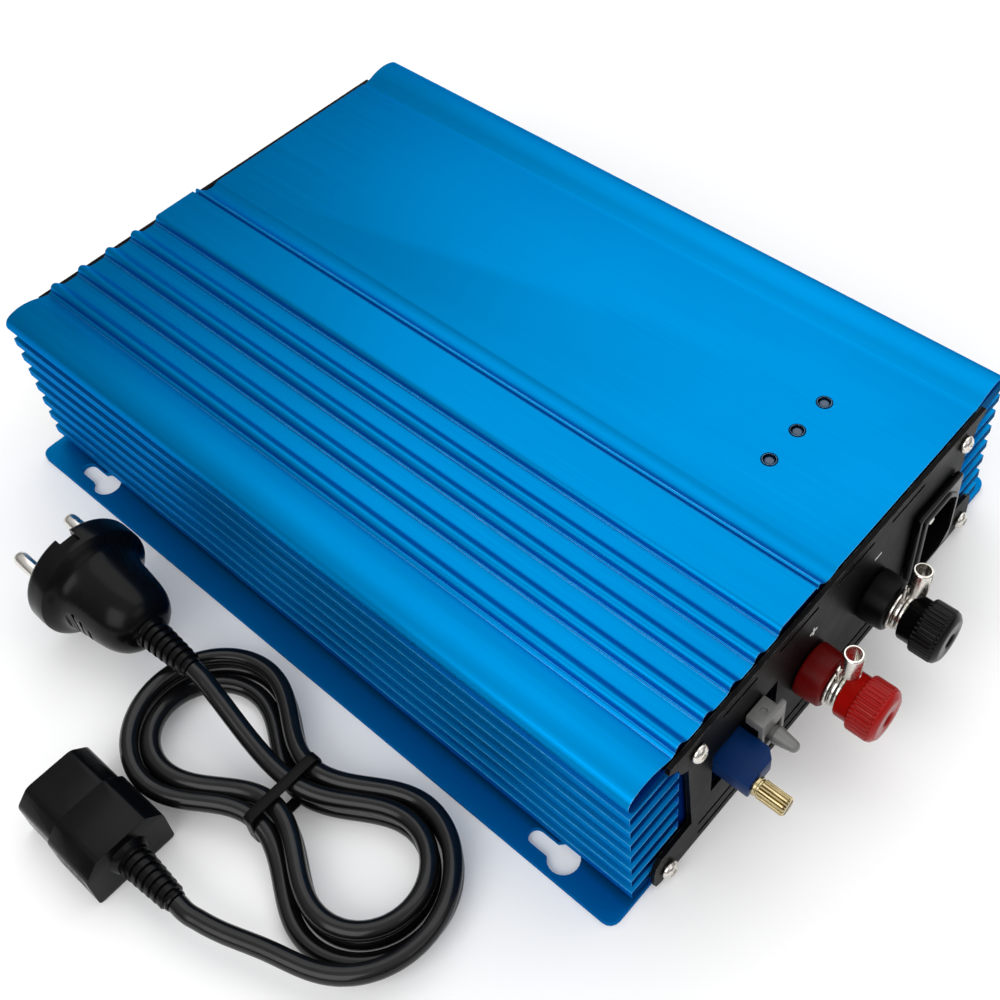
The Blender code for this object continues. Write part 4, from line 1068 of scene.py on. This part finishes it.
def make_connector():
    """The line socket: cut corners, a waist with grip ribs, three slots, and a ribbed relief."""
    low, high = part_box("connector_body")
    x, z = (low.x + high.x) / 2 / MM, (low.z + high.z) / 2 / MM
    w, h = (high.x - low.x) / 2 / MM, (high.z - low.z) / 2 / MM
    face = high.y / MM
    cut = 5.0

    def outline(inset):
        a, b, c = w - inset, h - inset, cut - 0.4 * inset
        line = [(x - a, z - b), (x + a, z - b), (x + a, z + b - c), (x + a - c, z + b), (x - a + c, z + b),
                (x - a, z + b - c)]
        return eased(line, 1.4, closed=True, steps=4)

    def slab(inset, near, far, ease):
        return worked(upright([outline(inset)], near, far), bevel=ease, segments=3)

    nose = slab(0.9, face - 17, face, 0.6)
    body = slab(0.0, face - 33.6, face - 15.5, 1.3)
    slots = []
    for dx, dz in ((-7, -1.8), (0, 2.2), (7, -1.8)):
        slots.append(block((x + dx - 1.2, face - 15, z + dz - 2.3), (x + dx + 1.2, face + 1, z + dz + 2.3)))
    ribs = []
    for side in (-1, 1):
        for k in range(4):
            edge = x + side * w
            y = face - 20 - 3.0 * k
            ribs.append(block((edge - 0.7, y - 0.7, z - 5), (edge + 0.7, y + 0.7, z + 3)))
    socket = worked(body, slots + ribs, [nose])
    tail = [(0, 3), (6.4, 3), (6.4, 0.6), (5.4, -0.8)] + relief_profile(-1.2, 4.9, 3.6, 17.8, 7)
    tail += [(3.2, -19.4), (3.0, -20), (0, -20)]
    relief = lathe(tail, on_axis("connector_body", (face - 34) * MM, REAR), 56)
    body = worked(socket, joins=[relief])
    return finish_piece("connector_moulding", body, BLACK, "housing", ["connector_body"],
                        32)


def make_tie():
    """A narrow strap round the hank's waist."""
    low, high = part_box("cord_tie")
    x, y, z = middle("cord_tie") / MM
    w, h = (high.x - low.x) / MM, (high.z - low.z) / MM
    outer = eased(rectangle((x, z), (w, h)), 2.4, closed=True, steps=5)
    inner = eased(rectangle((x, z), (w - 1.8, h - 1.8)), 1.8, closed=True, steps=5)
    strap = upright([outer, inner], y - TIE_WIDTH / 2, y + TIE_WIDTH / 2, 0.25)
    return finish_piece("tie_strap", strap, BLACK_MATT, "housing", ["cord_tie"])


def make_lead():
    make_cord(make_plug() + [make_connector(), make_tie()])


# ---------------------------------------------------------------- frame nodes that stay

def dress_frame():
    """Gives every CAD node its finish, and eases the edges of those that show."""
    slots = {part["node"]: part["material_slot"] for part in frame["record"]["subparts"]}
    for name, node in frame["nodes"].items():
        finish = CAD_FINISH[slots[name]]
        if not node.data.materials:
            node.data.materials.append(finish)
        for i in range(len(node.data.materials)):
            node.material_slots[i].material = finish
    soften("base_plate", 0.3)
    for panel in ("front_panel", "rear_panel"):
        soften(panel, 0.25)
    soften("switch_body", 0.3)
    for i in (1, 2):
        soften(f"capacitor_{i}", 0.8, 3)


# ---------------------------------------------------------------- floor, light and camera

def area_light(name, place, target, size, power, colour=(1, 1, 1)):
    data = bpy.data.lights.new(name, "AREA")
    data.shape = "RECTANGLE"
    data.size, data.size_y = size
    data.energy = power
    data.color = colour
    lamp = bpy.data.objects.new(name, data)
    lamp.location = place
    lamp.rotation_euler = (Vector(target) - Vector(place)).to_track_quat("-Z", "Y").to_euler()
    bpy.context.scene.collection.objects.link(lamp)


def make_stage():
    mesh = bpy.data.meshes.new("floor")
    half = 3.0
    mesh.from_pydata([(-half, -half, 0), (half, -half, 0), (half, half, 0), (-half, half, 0)], [],
                     [(0, 1, 2, 3)])
    floor = bpy.data.objects.new("floor", mesh)
    floor.location.z = -0.0002
    bpy.context.scene.collection.objects.link(floor)
    g = Graph("floor_white", roughness=0.9, Emission_Color=(1, 1, 1, 1), Emission_Strength=0.12)
    g.colour(g.mix(g.spread(g.noise(3, detail=2), 0.0, 1.0), (0.86, 0.86, 0.86), (0.9, 0.9, 0.9)))
    mesh.materials.append(g.material)

    world = bpy.data.worlds.new("studio")
    world.use_nodes = True
    bpy.context.scene.world = world
    tree = world.node_tree
    up = tree.nodes.new("ShaderNodeSeparateXYZ")
    tree.links.new(tree.nodes.new("ShaderNodeTexCoord").outputs["Generated"], up.inputs["Vector"])
    ramp = tree.nodes.new("ShaderNodeValToRGB")
    stops = ((0.0, 0.16), (0.45, 0.34), (0.78, 0.68), (1.0, 0.98))
    while len(ramp.color_ramp.elements) < len(stops):
        ramp.color_ramp.elements.new(0.5)
    for element, (height, shade) in zip(ramp.color_ramp.elements, stops):
        element.position = height
        element.color = (shade, shade, shade, 1.0)
    tree.links.new(up.outputs["Z"], ramp.inputs["Fac"])
    tree.links.new(ramp.outputs["Color"], tree.nodes["Background"].inputs["Color"])
    tree.nodes["Background"].inputs["Strength"].default_value = 1.0

    area_light("key", (1.2, 0.3, 1.5), (0.02, -0.06, 0), (2.8, 2.8), 24)
    area_light("side", (-1.3, -0.3, 1.0), (-0.09, 0, 0.02), (1.2, 1.2), 11)
    area_light("front", (0.1, -1.2, 0.9), (0.0, -0.13, 0.02), (0.8, 0.5), 1)


def make_camera():
    data = bpy.data.cameras.new("camera")
    data.sensor_width = 36.0
    data.lens = 51.5
    data.shift_x = -0.067
    data.shift_y = -0.118
    data.clip_start = 0.01
    camera = bpy.data.objects.new("camera", data)
    camera.location = (-0.2043, -0.2299, 0.3824)
    camera.rotation_euler = [math.radians(angle) for angle in (41.98, 2.57, -49.05)]
    bpy.context.scene.collection.objects.link(camera)
    bpy.context.scene.camera = camera
    bpy.context.scene.view_settings.view_transform = "Standard"


dress_frame()
make_case()
make_lamp_rings()
make_screws()
make_terminals()
make_marks()
make_inlet()
make_dial()
make_switch()
make_fan()
make_lead()
make_stage()
make_camera()
